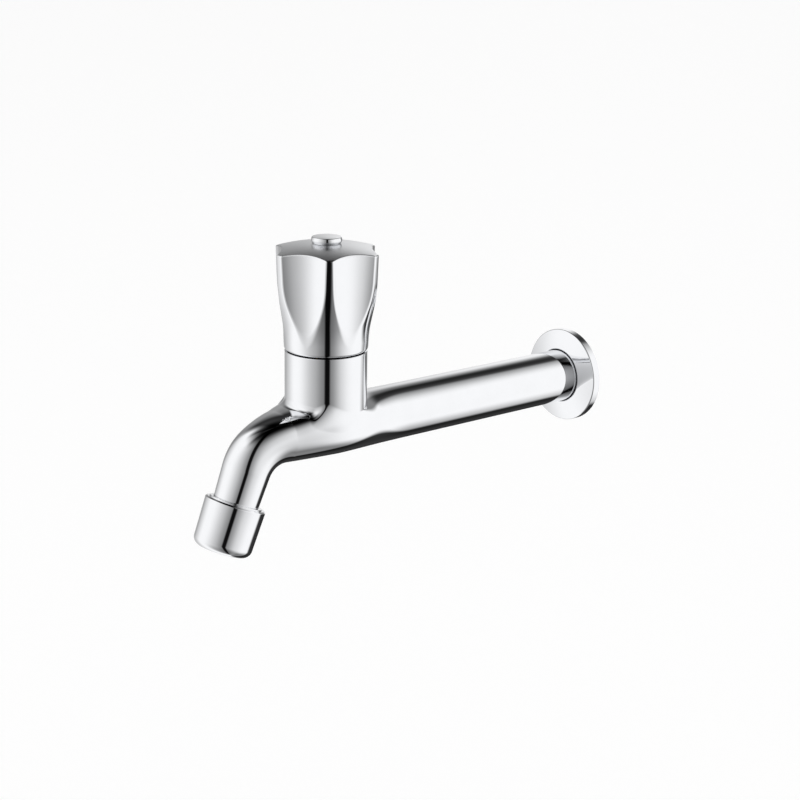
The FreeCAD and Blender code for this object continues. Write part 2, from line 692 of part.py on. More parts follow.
def headwork_inner_parts():
    """Clip, thrust washer, ceramic discs and seat seal."""
    clip_hole = f"({CLIP_ROOT} + Dims.running_fit)"
    clip_rim = f"({CLIP_ROOT} + Dims.clip_width)"
    clip = turned("spindle_clip", [
        (clip_hole, f"{CLIP_LOW} + Dims.sliding_gap"), (clip_rim, f"{CLIP_LOW} + Dims.sliding_gap"),
        (clip_rim, f"{CLIP_TOP} - Dims.sliding_gap"), (clip_hole, f"{CLIP_TOP} - Dims.sliding_gap")])
    mouth = new_sketch(clip, "mouth", "XY_Plane", ("0", "0", CLIP_LOW))
    half = "Dims.clip_mouth / 2"
    beyond = f"{clip_rim} + 1"
    outline(mouth, [("0", f"-{half}"), (beyond, f"-{half}"), (beyond, half), ("0", half)])
    cut(clip, "Pocket", "mouth_cut", Profile=mouth, Length="2 * Dims.clip_groove_width", Reversed=True)
    washer_low = f"{CAGE_ROOF} - Dims.thrust_thickness"
    washer_hole = "Dims.shaft_radius + 2 * Dims.running_fit"
    turned("thrust_washer", [
        (washer_hole, washer_low), (FOOT_RADIUS, washer_low),
        (FOOT_RADIUS, CAGE_ROOF), (washer_hole, CAGE_ROOF)])
    moving_disc()
    fixed_disc()
    seal_radius = "Dims.cage_bore - 2 * Dims.running_fit"
    seal_hole = "Dims.seat_port + Dims.seal_margin"
    turned("seat_seal", [
        (seal_hole, "Dims.seat_height"), (seal_radius, "Dims.seat_height"), (seal_radius, SEAL_TOP),
        (seal_hole, SEAL_TOP)])


def moving_disc():
    """The upper ceramic disc: open sectors below and a slot for the spindle's tongue."""
    rim = "(Dims.cage_bore - Dims.disc_play)"
    body = turned("moving_disc", [
        ("0", MOVING_LOW), (rim, MOVING_LOW), (rim, MOVING_TOP), ("0", MOVING_TOP)])
    slot = new_sketch(body, "slot", "XY_Plane", ("0", "0", MOVING_TOP))
    box_outline(slot, "Dims.tongue_width + 2 * Dims.running_fit", f"-{rim} - 1", f"{rim} + 1")
    cut(body, "Pocket", "slot_cut", Profile=slot, Length="Dims.tongue_depth + Dims.running_fit")
    sector = new_sketch(body, "sector", "XY_Plane", ("0", "0", MOVING_LOW))
    reach = f"({rim} + 1)"
    outline(sector, [
        ("Dims.port_inner", "0"),
        (reach, f"-{reach} * tan(Dims.port_half_angle)"),
        (reach, f"{reach} * tan(Dims.port_half_angle)")])
    way = cut(body, "Pocket", "sector_cut", Profile=sector, Length="Dims.moving_disc_height", Reversed=True)
    repeat(body, way, "2")


def fixed_disc():
    """The lower ceramic disc, with two sector ports across the moving disc's open sectors."""
    rim = "(Dims.cage_bore - Dims.running_fit)"
    body = turned("fixed_disc", [("0", SEAL_TOP), (rim, SEAL_TOP), (rim, FIXED_TOP), ("0", FIXED_TOP)])
    port = new_sketch(body, "port", "XY_Plane", ("0", "0", FIXED_TOP))
    corners = [("0", "Dims.port_inner")]
    for share in (-1, -0.5, 0, 0.5, 1):
        angle = f"(90 + {share} * Dims.port_half_angle)"
        corners.append((f"Dims.port_outer * cos({angle})", f"Dims.port_outer * sin({angle})"))
    outline(port, corners)
    way = cut(body, "Pocket", "port_cut", Profile=port, Length="Dims.fixed_disc_height")
    repeat(body, way, "2")


def handle_knob():
    """The knob: a turned, domed shell with six flutes, a hub, a hexagonal socket and a screw well."""
    waist = f"({KNOB_LOW} + Dims.waist_height)"
    shoulder = f"({KNOB_LOW} + Dims.shoulder_height)"
    cavity_top = f"{KNOB_TOP} - Dims.knob_roof"
    body = new_body("handle_knob", "neck")
    profile = outline(new_sketch(body, "profile"), [
        (KNOB_CAVITY, KNOB_LOW),
        (KNOB_FOOT, KNOB_LOW),
        ("Dims.waist_radius", waist),
        ("Dims.shoulder_radius", shoulder),
        ("Dims.rim_radius", f"{KNOB_TOP} - Dims.dome_rise"),
        ("Dims.well_radius", KNOB_TOP),
        ("Dims.well_radius", SCREW_FLOOR),
        ("Dims.screw_clearance", SCREW_FLOOR),
        ("Dims.screw_clearance", HUB_LOW),
        ("Dims.hub_radius", HUB_LOW),
        ("Dims.hub_radius", cavity_top),
        (KNOB_CAVITY, cavity_top)], arcs=(4,))
    for side, radius in enumerate(("Dims.knob_foot_round", "Dims.flare_round", "Dims.shoulder_round")):
        round_corner(profile, side, radius)
    turn(body, profile)
    distance = "(Dims.flute_floor + Dims.flute_radius)"
    flute = circle(new_sketch(body, "flute", "XY_Plane", ("0", "0", KNOB_LOW)), "Dims.flute_radius",
                   f"{distance} * cos(Dims.knob_turn)", f"{distance} * sin(Dims.knob_turn)")
    first = cut(body, "Pocket", "flute_cut", Profile=flute, Length="Dims.knob_height + 1", Reversed=True)
    repeat(body, first, "Dims.ridges")
    socket = hexagon(new_sketch(body, "socket", "XY_Plane", ("0", "0", HUB_LOW)), "Dims.socket_across")
    cut(body, "Pocket", "socket_cut", Profile=socket, Length="Dims.socket_depth", Reversed=True)


def handle_insert():
    """The hexagonal insert that takes the spindle's spline."""
    body = new_body("spline_insert", "neck")
    blank = hexagon(new_sketch(body, "blank", "XY_Plane", ("0", "0", HUB_LOW)),
                    "Dims.socket_across - 2 * Dims.running_fit")
    feature(body, "Pad", "blank_pad", Profile=blank, Length="Dims.socket_depth - Dims.sliding_gap")
    hole = circle(new_sketch(body, "screw_hole", "XY_Plane", ("0", "0", HUB_LOW)), "Dims.screw_clearance")
    cut(body, "Pocket", "screw_hole_cut", Profile=hole, Length="Dims.socket_depth", Reversed=True)
    inner = "(Dims.spline_radius - Dims.spline_depth + Dims.spline_tip_play)"
    outer = "(Dims.spline_radius + Dims.running_fit)"
    bore = circle(new_sketch(body, "bore", "XY_Plane", ("0", "0", HUB_LOW)), inner)
    depth = f"{SPINDLE_TOP} + Dims.insert_headroom - {HUB_LOW}"
    cut(body, "Pocket", "bore_cut", Profile=bore, Length=depth, Reversed=True)
    corners = []
    for radius, angle in ((outer, "-Dims.spline_gap_mouth"), (outer, "+Dims.spline_gap_mouth"),
                          (inner, "+Dims.spline_gap_root"), (inner, "-Dims.spline_gap_root")):
        side = f"(180 / Dims.spline_teeth {angle})"
        corners.append((f"{radius} * cos({side})", f"{radius} * sin({side})"))
    groove = outline(new_sketch(body, "groove", "XY_Plane", ("0", "0", HUB_LOW)), corners)
    gap = cut(body, "Pocket", "groove_cut", Profile=groove, Length=depth, Reversed=True)
    repeat(body, gap, "Dims.spline_teeth")


def handle_screw():
    """The cross-recessed screw that holds the knob on the spindle."""
    head_top = f"({SCREW_FLOOR} + Dims.screw_head_height)"
    body = turned("handle_screw", [
        ("0", SCREW_TIP),
        ("Dims.screw_radius", SCREW_TIP),
        ("Dims.screw_radius", SCREW_FLOOR),
        ("Dims.screw_head_radius", SCREW_FLOOR),
        ("Dims.screw_head_radius", head_top),
        ("0", head_top)])
    soften(body, "head_round", "Dims.screw_head_round", "Dims.screw_head_radius", head_top)
    for name, wide, long in (("first", "Dims.cross_width", "Dims.cross_length"),
                             ("second", "Dims.cross_length", "Dims.cross_width")):
        recess = new_sketch(body, f"{name}_recess", "XY_Plane", ("0", "0", head_top))
        box_outline(recess, wide, f"-({long}) / 2", f"({long}) / 2")
        cut(body, "Pocket", f"{name}_cut", Profile=recess, Length="Dims.cross_depth")


def handle_cap():
    """The button that closes the screw well."""
    stem = "(Dims.well_radius - Dims.running_fit)"
    inner = f"({stem} - Dims.cap_stem_wall)"
    foot = f"({KNOB_TOP} + Dims.seat_gap)"
    turned("handle_cap", [
        (inner, f"{foot} - Dims.cap_stem_length"),
        (stem, f"{foot} - Dims.cap_stem_length"),
        (stem, foot),
        ("Dims.well_radius + Dims.cap_foot", foot),
        ("Dims.cap_radius", f"{foot} + Dims.cap_swell"),
        ("Dims.cap_radius - Dims.cap_chamfer", f"{foot} + Dims.cap_shoulder"),
        ("0", f"{foot} + Dims.cap_height"),
        ("0", foot),
        (inner, foot)], arcs=(5,))


def aerator_sleeve():
    """The chromed sleeve that screws on the spout and holds the aerator."""
    chamber = "(Dims.spigot_thread + Dims.thread_fit)"
    skirt = "(Dims.skirt_radius + Dims.sleeve_skirt_play)"
    thread_top = "-Dims.spigot_length + Dims.seat_gap"
    top = "(-Dims.spigot_length - Dims.sleeve_cover)"
    step = f"({top} - Dims.sleeve_chamfer)"
    rim = f"{step} - Dims.sleeve_rim_height"
    lip = "Dims.spigot_thread - Dims.sleeve_lip_width"
    body = turned("aerator_sleeve", [
        (skirt, rim),
        (f"{skirt} + Dims.sleeve_rim_wall", rim),
        (f"{skirt} + Dims.sleeve_rim_wall", step),
        ("Dims.sleeve_radius - Dims.sleeve_chamfer", step),
        ("Dims.sleeve_radius", top),
        ("Dims.sleeve_bottom_radius", "Dims.sleeve_bottom"),
        (lip, "Dims.sleeve_bottom"),
        (lip, "Dims.sleeve_bottom - Dims.sleeve_lip"),
        (chamber, "Dims.sleeve_bottom - Dims.sleeve_lip"),
        (chamber, thread_top),
        (skirt, thread_top)], at="spout")
    soften(body, "bottom_round", "Dims.sleeve_round", "Dims.sleeve_bottom_radius", "Dims.sleeve_bottom")


def aerator_insert_parts():
    """Washer, slotted cage, jet disc, two screens and the outlet grille."""
    cage_low = "(Dims.washer_thickness + Dims.sliding_gap)"
    cage_end = "(Dims.sleeve_bottom - Dims.sleeve_lip - Dims.sliding_gap)"
    ledge = f"({cage_end} - Dims.insert_ledge)"
    washer_hole = "Dims.spout_bore + Dims.washer_margin"
    turned("aerator_washer", [
        (washer_hole, "0"), (INSERT_OUTSIDE, "0"), (INSERT_OUTSIDE, "Dims.washer_thickness"),
        (washer_hole, "Dims.washer_thickness")], at="spout")
    cage = turned("aerator_cage", [
        (INSERT_INSIDE, cage_low), (INSERT_OUTSIDE, cage_low), (INSERT_OUTSIDE, cage_end),
        (f"{INSERT_INSIDE} - Dims.insert_ledge", cage_end), (f"{INSERT_INSIDE} - Dims.insert_ledge", ledge),
        (INSERT_INSIDE, ledge)], at="spout")
    disc_radius = f"({INSERT_INSIDE} - Dims.running_fit)"
    jet = disc("jet_disc", disc_radius, cage_low, "Dims.jet_thickness")
    hole = new_sketch(jet, "hole", "XY_Plane", ("0", "0", cage_low))
    circle(hole, "Dims.jet_hole", "Dims.jet_ring")
    drilled = cut(jet, "Pocket", "hole_cut", Profile=hole, Length="Dims.jet_thickness", Reversed=True)
    repeat(jet, drilled, "Dims.jet_holes")
    upper = f"({cage_low} + Dims.jet_thickness + Dims.screen_gap)"
    for label, low in (("screen_upper", upper), ("screen_lower", f"({upper} + Dims.screen_pitch)")):
        screen = disc(label, disc_radius, low, "Dims.screen_thickness")
        perforate(screen, low, "Dims.screen_thickness", disc_radius, "Dims.screen_hole",
                  "Dims.screen_spacing", 1)
    slot_low = f"({upper} + Dims.screen_thickness + Dims.seat_gap)"
    slot = new_sketch(cage, "slot")
    box_outline(slot, "Dims.slot_width", slot_low, f"{slot_low} + Dims.slot_height")
    first = cut(cage, "Pocket", "slot_cut", Profile=slot, Length=f"{INSERT_OUTSIDE} + 1")
    repeat(cage, first, "Dims.air_slots")
    low = f"({ledge} - Dims.sliding_gap - Dims.grille_thickness)"
    grille = disc("outlet_grille", disc_radius, low, "Dims.grille_thickness")
    perforate(grille, low, "Dims.grille_thickness", disc_radius, "Dims.grille_hole", "Dims.grille_spacing",
              math.sqrt(3) / 2)


def disc(label, radius, low, thickness):
    """A plain disc inside the aerator."""
    body = new_body(label, "spout")
    blank = circle(new_sketch(body, "blank", "XY_Plane", ("0", "0", low)), radius)
    feature(body, "Pad", "blank_pad", Profile=blank, Length=thickness)
    return body


def perforate(body, low, thickness, radius, hole, spacing, row_share):
    """Rows of round holes, square or staggered, that stay inside the rim."""
    holes = new_sketch(body, "holes", "XY_Plane", ("0", "0", low))
    reach = int(number(radius) / number(spacing) / row_share) + 1
    room = number(f"{radius} - {hole} - Dims.screen_rim")
    for row in range(-reach, reach + 1):
        stagger = 0 if row_share == 1 else 0.5 * (row % 2)
        for column in range(-reach, reach + 1):
            x = f"{spacing} * {column + stagger}"
            y = f"{spacing} * {row * row_share}"
            if math.hypot(number(x), number(y)) < room:
                circle(holes, hole, x, y)
    cut(body, "Pocket", "holes_cut", Profile=holes, Length=thickness, Reversed=True)


def check_and_write():
    """Refuses a failed document and writes each body's shape."""
    doc.recompute()
    for item in doc.Objects:
        if "Invalid" in item.State or "Error" in item.State:
            raise ValueError(f"{item.Name} failed")
    os.makedirs("parts", exist_ok=True)
    for body in nodes:
        shape = body.Shape
        if shape.isNull() or not shape.isValid() or not shape.Solids:
            raise ValueError(f"{body.Label} has no valid shape")
        shape.exportStep(os.path.join("parts", f"{body.Label}.step"))
        print(f"{body.Label}: {len(shape.Solids)} solid, {shape.Volume:.1f} mm3")


tap_body()
wall_flange()
headwork_body()
spindle()
headwork_inner_parts()
handle_knob()
handle_insert()
handle_screw()
handle_cap()
aerator_sleeve()
aerator_insert_parts()
check_and_write()
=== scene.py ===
import json
import math

import bpy
import numpy as np
from mathutils import Matrix, Vector


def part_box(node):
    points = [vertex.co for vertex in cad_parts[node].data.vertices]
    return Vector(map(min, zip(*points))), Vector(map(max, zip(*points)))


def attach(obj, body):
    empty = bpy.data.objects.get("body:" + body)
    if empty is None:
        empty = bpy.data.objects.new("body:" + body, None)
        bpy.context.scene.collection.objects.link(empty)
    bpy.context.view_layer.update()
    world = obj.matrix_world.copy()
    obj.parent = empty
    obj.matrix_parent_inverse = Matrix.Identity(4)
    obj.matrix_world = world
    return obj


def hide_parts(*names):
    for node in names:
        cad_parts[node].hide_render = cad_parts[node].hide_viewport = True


# Long-body wall tap. Sizes are in millimetres and become metres where meshes are made.
MM = 0.001

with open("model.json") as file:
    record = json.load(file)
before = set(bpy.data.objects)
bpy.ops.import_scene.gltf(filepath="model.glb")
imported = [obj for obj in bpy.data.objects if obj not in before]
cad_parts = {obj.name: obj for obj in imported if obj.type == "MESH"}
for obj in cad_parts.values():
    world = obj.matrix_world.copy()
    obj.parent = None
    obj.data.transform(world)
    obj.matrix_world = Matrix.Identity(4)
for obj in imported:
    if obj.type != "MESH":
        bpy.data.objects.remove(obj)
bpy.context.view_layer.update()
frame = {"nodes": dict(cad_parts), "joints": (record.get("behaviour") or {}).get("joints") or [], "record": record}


def size_of(node):
    """Lowest and highest corner of a CAD node, in millimetres."""
    low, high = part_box(node)
    return np.array(low) / MM, np.array(high) / MM


KNOB_BOX = size_of("handle_knob")
BODY_BOX = size_of("tap_body")
FLANGE_BOX = size_of("wall_flange")
CAP_BOX = size_of("handle_cap")
TURN_JOINT = [joint for joint in frame["joints"] if joint["name"] == "handle_turn"][0]

# Body casting. Its line runs out of the wall along the barrel, round the bend and down the spout.
REACH = -TURN_JOINT["pos_m"][1] / MM
BARREL = 13.6
NECK = 19.5
NECK_TOP = TURN_JOINT["pos_m"][2] / MM
NECK_EDGE = 0.4
NECK_LEDGE = 0.8
RUN = 26.6
BEND = 20.7
FALL = math.radians(68.1)
SKIRT = 18.0
SKIRT_RADIUS = 10.65
SPIGOT = 8.0
SPIGOT_RADIUS = 9.9
LINE_END = RUN + BEND * FALL + SKIRT
TAPER = (BARREL - SKIRT_RADIUS) / LINE_END

# Forms of the body beside the neck. A span is how far one reaches behind and in front of the neck's axis.
SWELL_WIDTH = 19.8
SWELL_SPAN = (43.0, 48.0)
FULLNESS = 2.0
FULLNESS_SPAN = (26.0, 43.0)
CROWN_RISE = 0.25
CROWN_SPAN = (24.0, 30.0)
KEEL_LIFT = 0.8
KEEL_SPAN = (40.0, 40.0)
NAPE_DROP = 1.4
NAPE_MIDDLE, NAPE_HALF = 32.0, 16.0

# Fillet between neck and body. Pairs are a change's start and length; those seen in plan are in neck radii.
NECK_FOOT = 6.0
FOOT_FLATNESS = 1.5
BLEND = 3.0
LOW_BLEND = 0.06
BLEND_RISE = (-2.0, 9.0)
CORNER_BLEND = 0.93
CORNER_SIDE, CORNER_FRONT = (0.6, 0.22), (-0.3, 0.8)
FLANK_THINNING, FLANK = 0.85, (0.8, 0.4)
BACK_THINNING, BACK = 0.65, (0.0, 0.5)

# Inlet thread.
THREAD = 10.48
INLET_END = BODY_BOX[1][1]
INLET_BORE = 6.75
THREAD_PITCH = 1.814
THREAD_DEPTH = 1.0
THREAD_MOUTH = 1.45
THREAD_LEAD = 1.2
THREAD_START = 0.3
THREAD_RUNOUT = 1.4
THREAD_ROW = 0.12

# Knob.
KNOB_LOW = KNOB_BOX[0][2]
KNOB_TOP = KNOB_BOX[1][2]
FOOT = 19.75
FOOT_WALL = 3.0
FOOT_ROUND = 1.6
WAIST = (20.35, KNOB_LOW + 10.25)
KNOB_SHOULDER = (25.2, KNOB_LOW + 28.05)
RIM = (26.05, KNOB_LOW + 46.75)
PAST_RIM = 0.25
FLARE_ROUND = 45.0
SHOULDER_ROUND = 60.0
WELL = 5.3
WELL_FLOOR = size_of("handle_screw")[1][2] - 2.6
SCREW_HOLE = 2.3
KNOB_TURN = math.radians(-4.1)
RIDGES = 6
FLUTE, FLUTE_TOP = 21.5, 28.0
FLUTE_AXIS, FLUTE_DRIFT = 41.56, 1.138
FLUTE_SPAN = (KNOB_LOW + 12, RIM[1])
LEAST_ROUND, RIDGE_ROUND = 0.03, 0.5
RIDGE_ROUND_RISE = (3.0, 8.0)
RIM_ROUND = 0.6

# Cap.
CAP_HEIGHT, CAP_DOME, CAP_CREST = 3.4, 0.42, 0.03
CAP_FOOT, CAP_RADIUS, CAP_RIM = 6.6, 7.4, 6.9
CAP_SWELL = 1.3
CAP_SIDE_ROUND, CAP_RIM_ROUND = 1.2, 0.5
CAP_STEM, CAP_BORE = WELL - 0.05, WELL - 1.25
CAP_SIDES = 96

# Aerator sleeve. Heights are along the flow, from the end of the spout's spigot.
SLEEVE, SLEEVE_MOUTH, SLEEVE_END, SLEEVE_ROUND = 14.45, 13.85, 13.2, 4.2
SLEEVE_TOP = -SPIGOT - 1.5
SLEEVE_STEP = SLEEVE_TOP - 0.7
SLEEVE_RIM = SLEEVE_STEP - 0.6
SLEEVE_RIM_WALL, SLEEVE_STEP_INSET = 1.7, 0.7
SLEEVE_SKIRT = SKIRT_RADIUS + 0.25
SLEEVE_BORE, SLEEVE_BORE_TOP = SPIGOT_RADIUS + 0.06, -SPIGOT + 0.05
SLEEVE_LIP, SLEEVE_LIP_HEIGHT = SPIGOT_RADIUS - 1.0, 1.4
SLEEVE_RIM_ROUND, SLEEVE_STEP_ROUND, SLEEVE_EDGE_ROUND = 0.2, 0.15, 0.3
SLEEVE_SIDES = 192

# Wall flange. The flare is the slope of its face at the edge, and how that changes inward.
FLANGE_WALL, FLANGE_EDGE, FLANGE_LIP = 1.2, 0.7, 0.7
FLANGE_FLARE = (0.268, -0.0027)
FLANGE_HOLE, FLANGE_COLLAR = BARREL + 0.35, BARREL + 2.65
FLANGE_FOOT_ROUND = 0.2
COLLAR_WALL, COLLAR_BACK = 1.1, 0.7
FLANGE_SIDES = 256

# The net of the casting round the neck. Each limit is a whole number of steps.
NET_STEP = 0.5
NET_HALF = 26.0
NET_FLOOR = -15.5
NET_WIDTH = 21.0
NET_ROOF = 18.5
NET_ROUNDS = 4

# How the CAD's inner faces are told from its outside: their depth below it, and slack at levels and bores.
INNER_DEPTH = 1.2
LEVEL_SLACK, WALL_SLACK = 0.02, 0.1
INLET_SLACK, SCREW_SLACK = 0.35, 0.3

# Camera. The pixel is where the photo shows the crossing of the neck's and the barrel's axes.
CAMERA_TURN, CAMERA_RISE, CAMERA_ROLL = 50.22, 16.40, 1.09
CAMERA_LENS, SENSOR, IMAGE_SIZE = 76.65, 36.0, 800
CAMERA_DISTANCE = 0.8101
CROSSING_PIXEL = (325.62, 426.01)

# Floor, in metres.
FLOOR_HEIGHT, FLOOR_HALF = -0.35, 40.0
FLOOR_COLOUR = (0.9, 0.9, 0.9, 1)
FLOOR_GLOW = 0.12

# What mirror rays see around the tap, and the camera doesn't: a level above white, dimmed by soft areas that
# were chosen from what the photo's chrome mirrors. Each has a middle, which is its turn from the
# front towards the right and its rise, then half widths, half widths of the soft edge, and how much it dims.
# Angles are in degrees, and a half width of 200 goes all the way round.
STUDIO_LEVEL = 1.12
STUDIO_AREAS = (
    ("shade_beside_gap", (47, 0), (37.5, 200), (37.5, 1), 0.60),
    ("shade_near_gap", (60, 0), (20, 200), (18, 1), 0.45),
    ("gap_between_panels", (56.5, 0), (7.5, 200), (3, 1), 0.98),
    ("dark_ceiling", (0, 90), (200, 23), (1, 14), 0.985),
    ("ceiling_front", (30, 90), (30, 30), (15, 15), 0.9),
    ("ceiling_right", (85, 90), (38, 40), (15, 26), 0.97),
    ("ceiling_wall", (160, 90), (50, 40), (20, 20), 0.85),
    ("ceiling_behind", (-156, 60), (30, 23), (30, 9), 0.9),
    ("ceiling_left", (-118, 60), (28, 31), (12, 13), 0.93),
    ("ceiling_left_top", (-85, 90), (35, 28), (15, 12), 0.9),
    ("left_panel", (-108, 20), (20, 36), (12, 20), 0.6),
    ("left_panel_far", (-163, 15), (17, 42), (7, 12), 0.77),
    ("left_panel_near", (-90, -10), (26, 40), (20, 18), 0.4),
    ("table_edge", (-158, -50), (34, 33), (8, 9), 0.96),
    ("table_wall", (150, -90), (55, 46), (25, 16), 0.78),
    ("table_front", (50, -60), (62, 38), (25, 28), 0.5),
)

# Finishes by slot: name, colour, metallic, roughness and its spread, grain per metre, relief, second colour.
CHROME = ((0.838, 0.845, 0.862), 1, 0.035, 0.015, 90, 4e-7, (0.82, 0.827, 0.843))
FINISHES = {
    "chrome": ("polished_chrome", *CHROME),
    "knob": ("satin_topped_chrome", *CHROME),
    "brass": ("machined_brass", (0.72, 0.50, 0.20), 1, 0.27, 0.06, 260, 6e-6, (0.62, 0.42, 0.17)),
    "steel": ("brushed_steel", (0.60, 0.60, 0.61), 1, 0.3, 0.06, 400, 4e-6, (0.5, 0.5, 0.51)),
    "seal_rubber": ("black_rubber", (0.03, 0.03, 0.032), 0, 0.62, 0.08, 900, 1e-5, (0.02, 0.02, 0.021)),
    "white_plastic": ("white_plastic", (0.80, 0.80, 0.78), 0, 0.36, 0.05, 500, 4e-6, (0.76, 0.76, 0.74)),
    "ceramic": ("lapped_ceramic", (0.82, 0.81, 0.78), 0, 0.12, 0.03, 700, 1e-6, (0.78, 0.77, 0.74)),
}
SATIN_RISE = (-0.2, 0.6)
SATIN_ROUGHNESS = 0.25


def hypot3(*parts):
    """Length of a vector given by its parts."""
    return np.sqrt(sum(part * part for part in parts))


def straighten(points):
    """Real points as (across, along the spout's line from the neck's axis, offset from that line)."""
    out = -(points[:, 1] + REACH)
    up = points[:, 2]
    past = out - RUN
    angle = np.arctan2(past, up + BEND)
    end = np.array([RUN + BEND * math.sin(FALL), -BEND * (1 - math.cos(FALL))])
    flow = np.array([math.cos(FALL), -math.sin(FALL)])
    side = np.array([math.sin(FALL), math.cos(FALL)])
    rest = np.stack([out, up], -1) - end
    in_bend = (past > 0) & (angle < FALL)
    in_drop = (past > 0) & (angle >= FALL)
    along = np.where(in_bend, RUN + BEND * angle, np.where(in_drop, RUN + BEND * FALL + rest @ flow, out))
    offset = np.where(in_bend, np.hypot(past, up + BEND) - BEND, np.where(in_drop, rest @ side, up))
    return np.stack([points[:, 0], along, offset], -1)


def line_frame(along):
    """Point, direction and upward side of the spout's line at given lengths, as (out, up) pairs."""
    angle = np.clip((along - RUN) / BEND, 0, FALL)
    straight = np.where(along < RUN, along, RUN)
    beyond = np.maximum(along - RUN - BEND * FALL, 0)
    flow = np.stack([np.cos(angle), -np.sin(angle)], -1)
    side = np.stack([np.sin(angle), np.cos(angle)], -1)
    centre = np.stack([straight + BEND * np.sin(angle), -BEND * (1 - np.cos(angle))], -1)
    return centre + beyond[:, None] * flow, flow, side


def bend_back(points, normals):
    """Real points and normals of straightened ones."""
    centre, flow, side = line_frame(points[:, 1])
    plane = centre + points[:, 2:3] * side
    real = np.stack([points[:, 0], -REACH - plane[:, 0], plane[:, 1]], -1)
    in_bend = (points[:, 1] > RUN) & (points[:, 1] < RUN + BEND * FALL)
    stretch = np.where(in_bend, 1 + points[:, 2] / BEND, 1.0)
    across = normals[:, 1:2] / stretch[:, None] * flow + normals[:, 2:3] * side
    turned = np.stack([normals[:, 0], -across[:, 0], across[:, 1]], -1)
    return real, turned / np.linalg.norm(turned, axis=1, keepdims=True)


def smooth_step(value, start, length):
    """Zero up to a start, one from a length beyond it, and smooth between them."""
    share = np.clip((value - start) / length, 0, 1)
    return share * share * (3 - 2 * share)


def round_union(first, second, radius):
    """Two fields joined with a round fillet."""
    corner = hypot3(np.maximum(radius - first, 0), np.maximum(radius - second, 0))
    return np.maximum(radius, np.minimum(first, second)) - corner


def round_common(first, second, radius):
    """What two fields share, with a rounded edge."""
    corner = hypot3(np.maximum(radius + first, 0), np.maximum(radius + second, 0))
    return np.minimum(-radius, np.maximum(first, second)) + corner


def hump(along, span):
    """One at the neck's axis, fading to zero at a length behind it and another in front of it."""
    share = along / np.where(along < 0, span[0], span[1])
    return np.clip(1 - share * share, 0, 1) ** 3


def arm_reach(along, angle):
    """Distance of the barrel's and the spout's outside from their line, which swells beside the neck."""
    radius = BARREL - TAPER * np.clip(along, 0, LINE_END)
    wide = radius + (SWELL_WIDTH - radius) * hump(along, SWELL_SPAN)
    nape = hump(along - NAPE_MIDDLE, (NAPE_HALF, NAPE_HALF))
    upper = radius + CROWN_RISE * hump(along, CROWN_SPAN) - NAPE_DROP * nape
    lower = radius - KEEL_LIFT * hump(along, KEEL_SPAN)
    power = np.where(np.sin(angle) > 0, 2 + FULLNESS * hump(along, FULLNESS_SPAN), 2)
    across = np.abs(np.cos(angle)) / wide
    up = np.abs(np.sin(angle)) / np.where(np.sin(angle) > 0, upper, lower)
    return (across ** power + up ** power) ** (-1 / power)


def skin(points):
    """Field of the casting's outside in straightened space: below zero inside."""
    x, along, up = points.T
    arm = hypot3(x, up) - arm_reach(along, np.arctan2(up, x))
    neck = hypot3(x, along, FOOT_FLATNESS * np.minimum(up - NECK_FOOT, 0)) - NECK
    side, front = np.abs(x) / NECK, along / NECK
    corner = CORNER_BLEND * smooth_step(side, *CORNER_SIDE) * smooth_step(front, *CORNER_FRONT)
    flank = FLANK_THINNING * smooth_step(side, *FLANK)
    back = BACK_THINNING * smooth_step(-front, *BACK)
    level = LOW_BLEND + (1 - LOW_BLEND) * smooth_step(up, *BLEND_RISE)
    return round_union(arm, neck, BLEND * level * (1 + corner) * (1 - flank) * (1 - back))


def slope(field, points):
    """Gradient of a field at points."""
    step = 1e-3
    parts = []
    for axis in range(3):
        shift = np.zeros(3)
        shift[axis] = step
        parts.append((field(points + shift) - field(points - shift)) / (2 * step))
    return np.stack(parts, -1)


def pull(field, points, rounds=4):
    """Points moved onto a field's zero surface."""
    for _ in range(rounds):
        steep = slope(field, points)
        points = points - (field(points) / (steep * steep).sum(1))[:, None] * steep
    return points


def unit(vectors):
    """Vectors of length one."""
    return vectors / np.linalg.norm(vectors, axis=1, keepdims=True)


def net_cells(field, low, high, step):
    """Cell centres that a field's zero surface crosses, and the four-sided faces between them."""
    axes = [np.arange(round((high[i] - low[i]) / step) + 1) * step + low[i] for i in range(3)]
    corners = np.stack(np.meshgrid(*axes, indexing="ij"), -1)
    solid = (field(corners.reshape(-1, 3)) < 0).reshape(corners.shape[:3])
    ends = (slice(None, -1), slice(1, None))
    count = sum(solid[i, j, k].astype(int) for i in ends for j in ends for k in ends)
    mixed = (count > 0) & (count < 8)
    index = np.full(mixed.shape, -1)
    index[mixed] = np.arange(mixed.sum())
    points = (np.argwhere(mixed) + 0.5) * step + np.array(low)
    faces = []
    for axis in range(3):
        turned = np.moveaxis(solid, [axis, (axis + 1) % 3, (axis + 2) % 3], [0, 1, 2])
        cells = np.moveaxis(index, [axis, (axis + 1) % 3, (axis + 2) % 3], [0, 1, 2])
        lower, upper = turned[:-1, 1:-1, 1:-1], turned[1:, 1:-1, 1:-1]
        ring = np.stack([cells[:, :-1, :-1], cells[:, 1:, :-1], cells[:, 1:, 1:], cells[:, :-1, 1:]], -1)
        faces.append(ring[lower & ~upper])
        faces.append(ring[upper & ~lower][:, ::-1])
    return points, np.concatenate(faces)


def relax(points, faces, fixed):
    """Each free point moved to the middle of the faces round it."""
    middle = points[faces].mean(1)
    total, count = np.zeros_like(points), np.zeros(len(points))
    for corner in range(4):
        np.add.at(total, faces[:, corner], middle)
        np.add.at(count, faces[:, corner], 1)
    moved = total / count[:, None]
    moved[fixed] = points[fixed]
    return moved


def patch(points, faces, normals, material=0):
    """A part of a piece: points, faces with a normal at each point, and a material's place."""
    return {"points": points, "faces": np.asarray(faces), "normals": normals, "material": material}


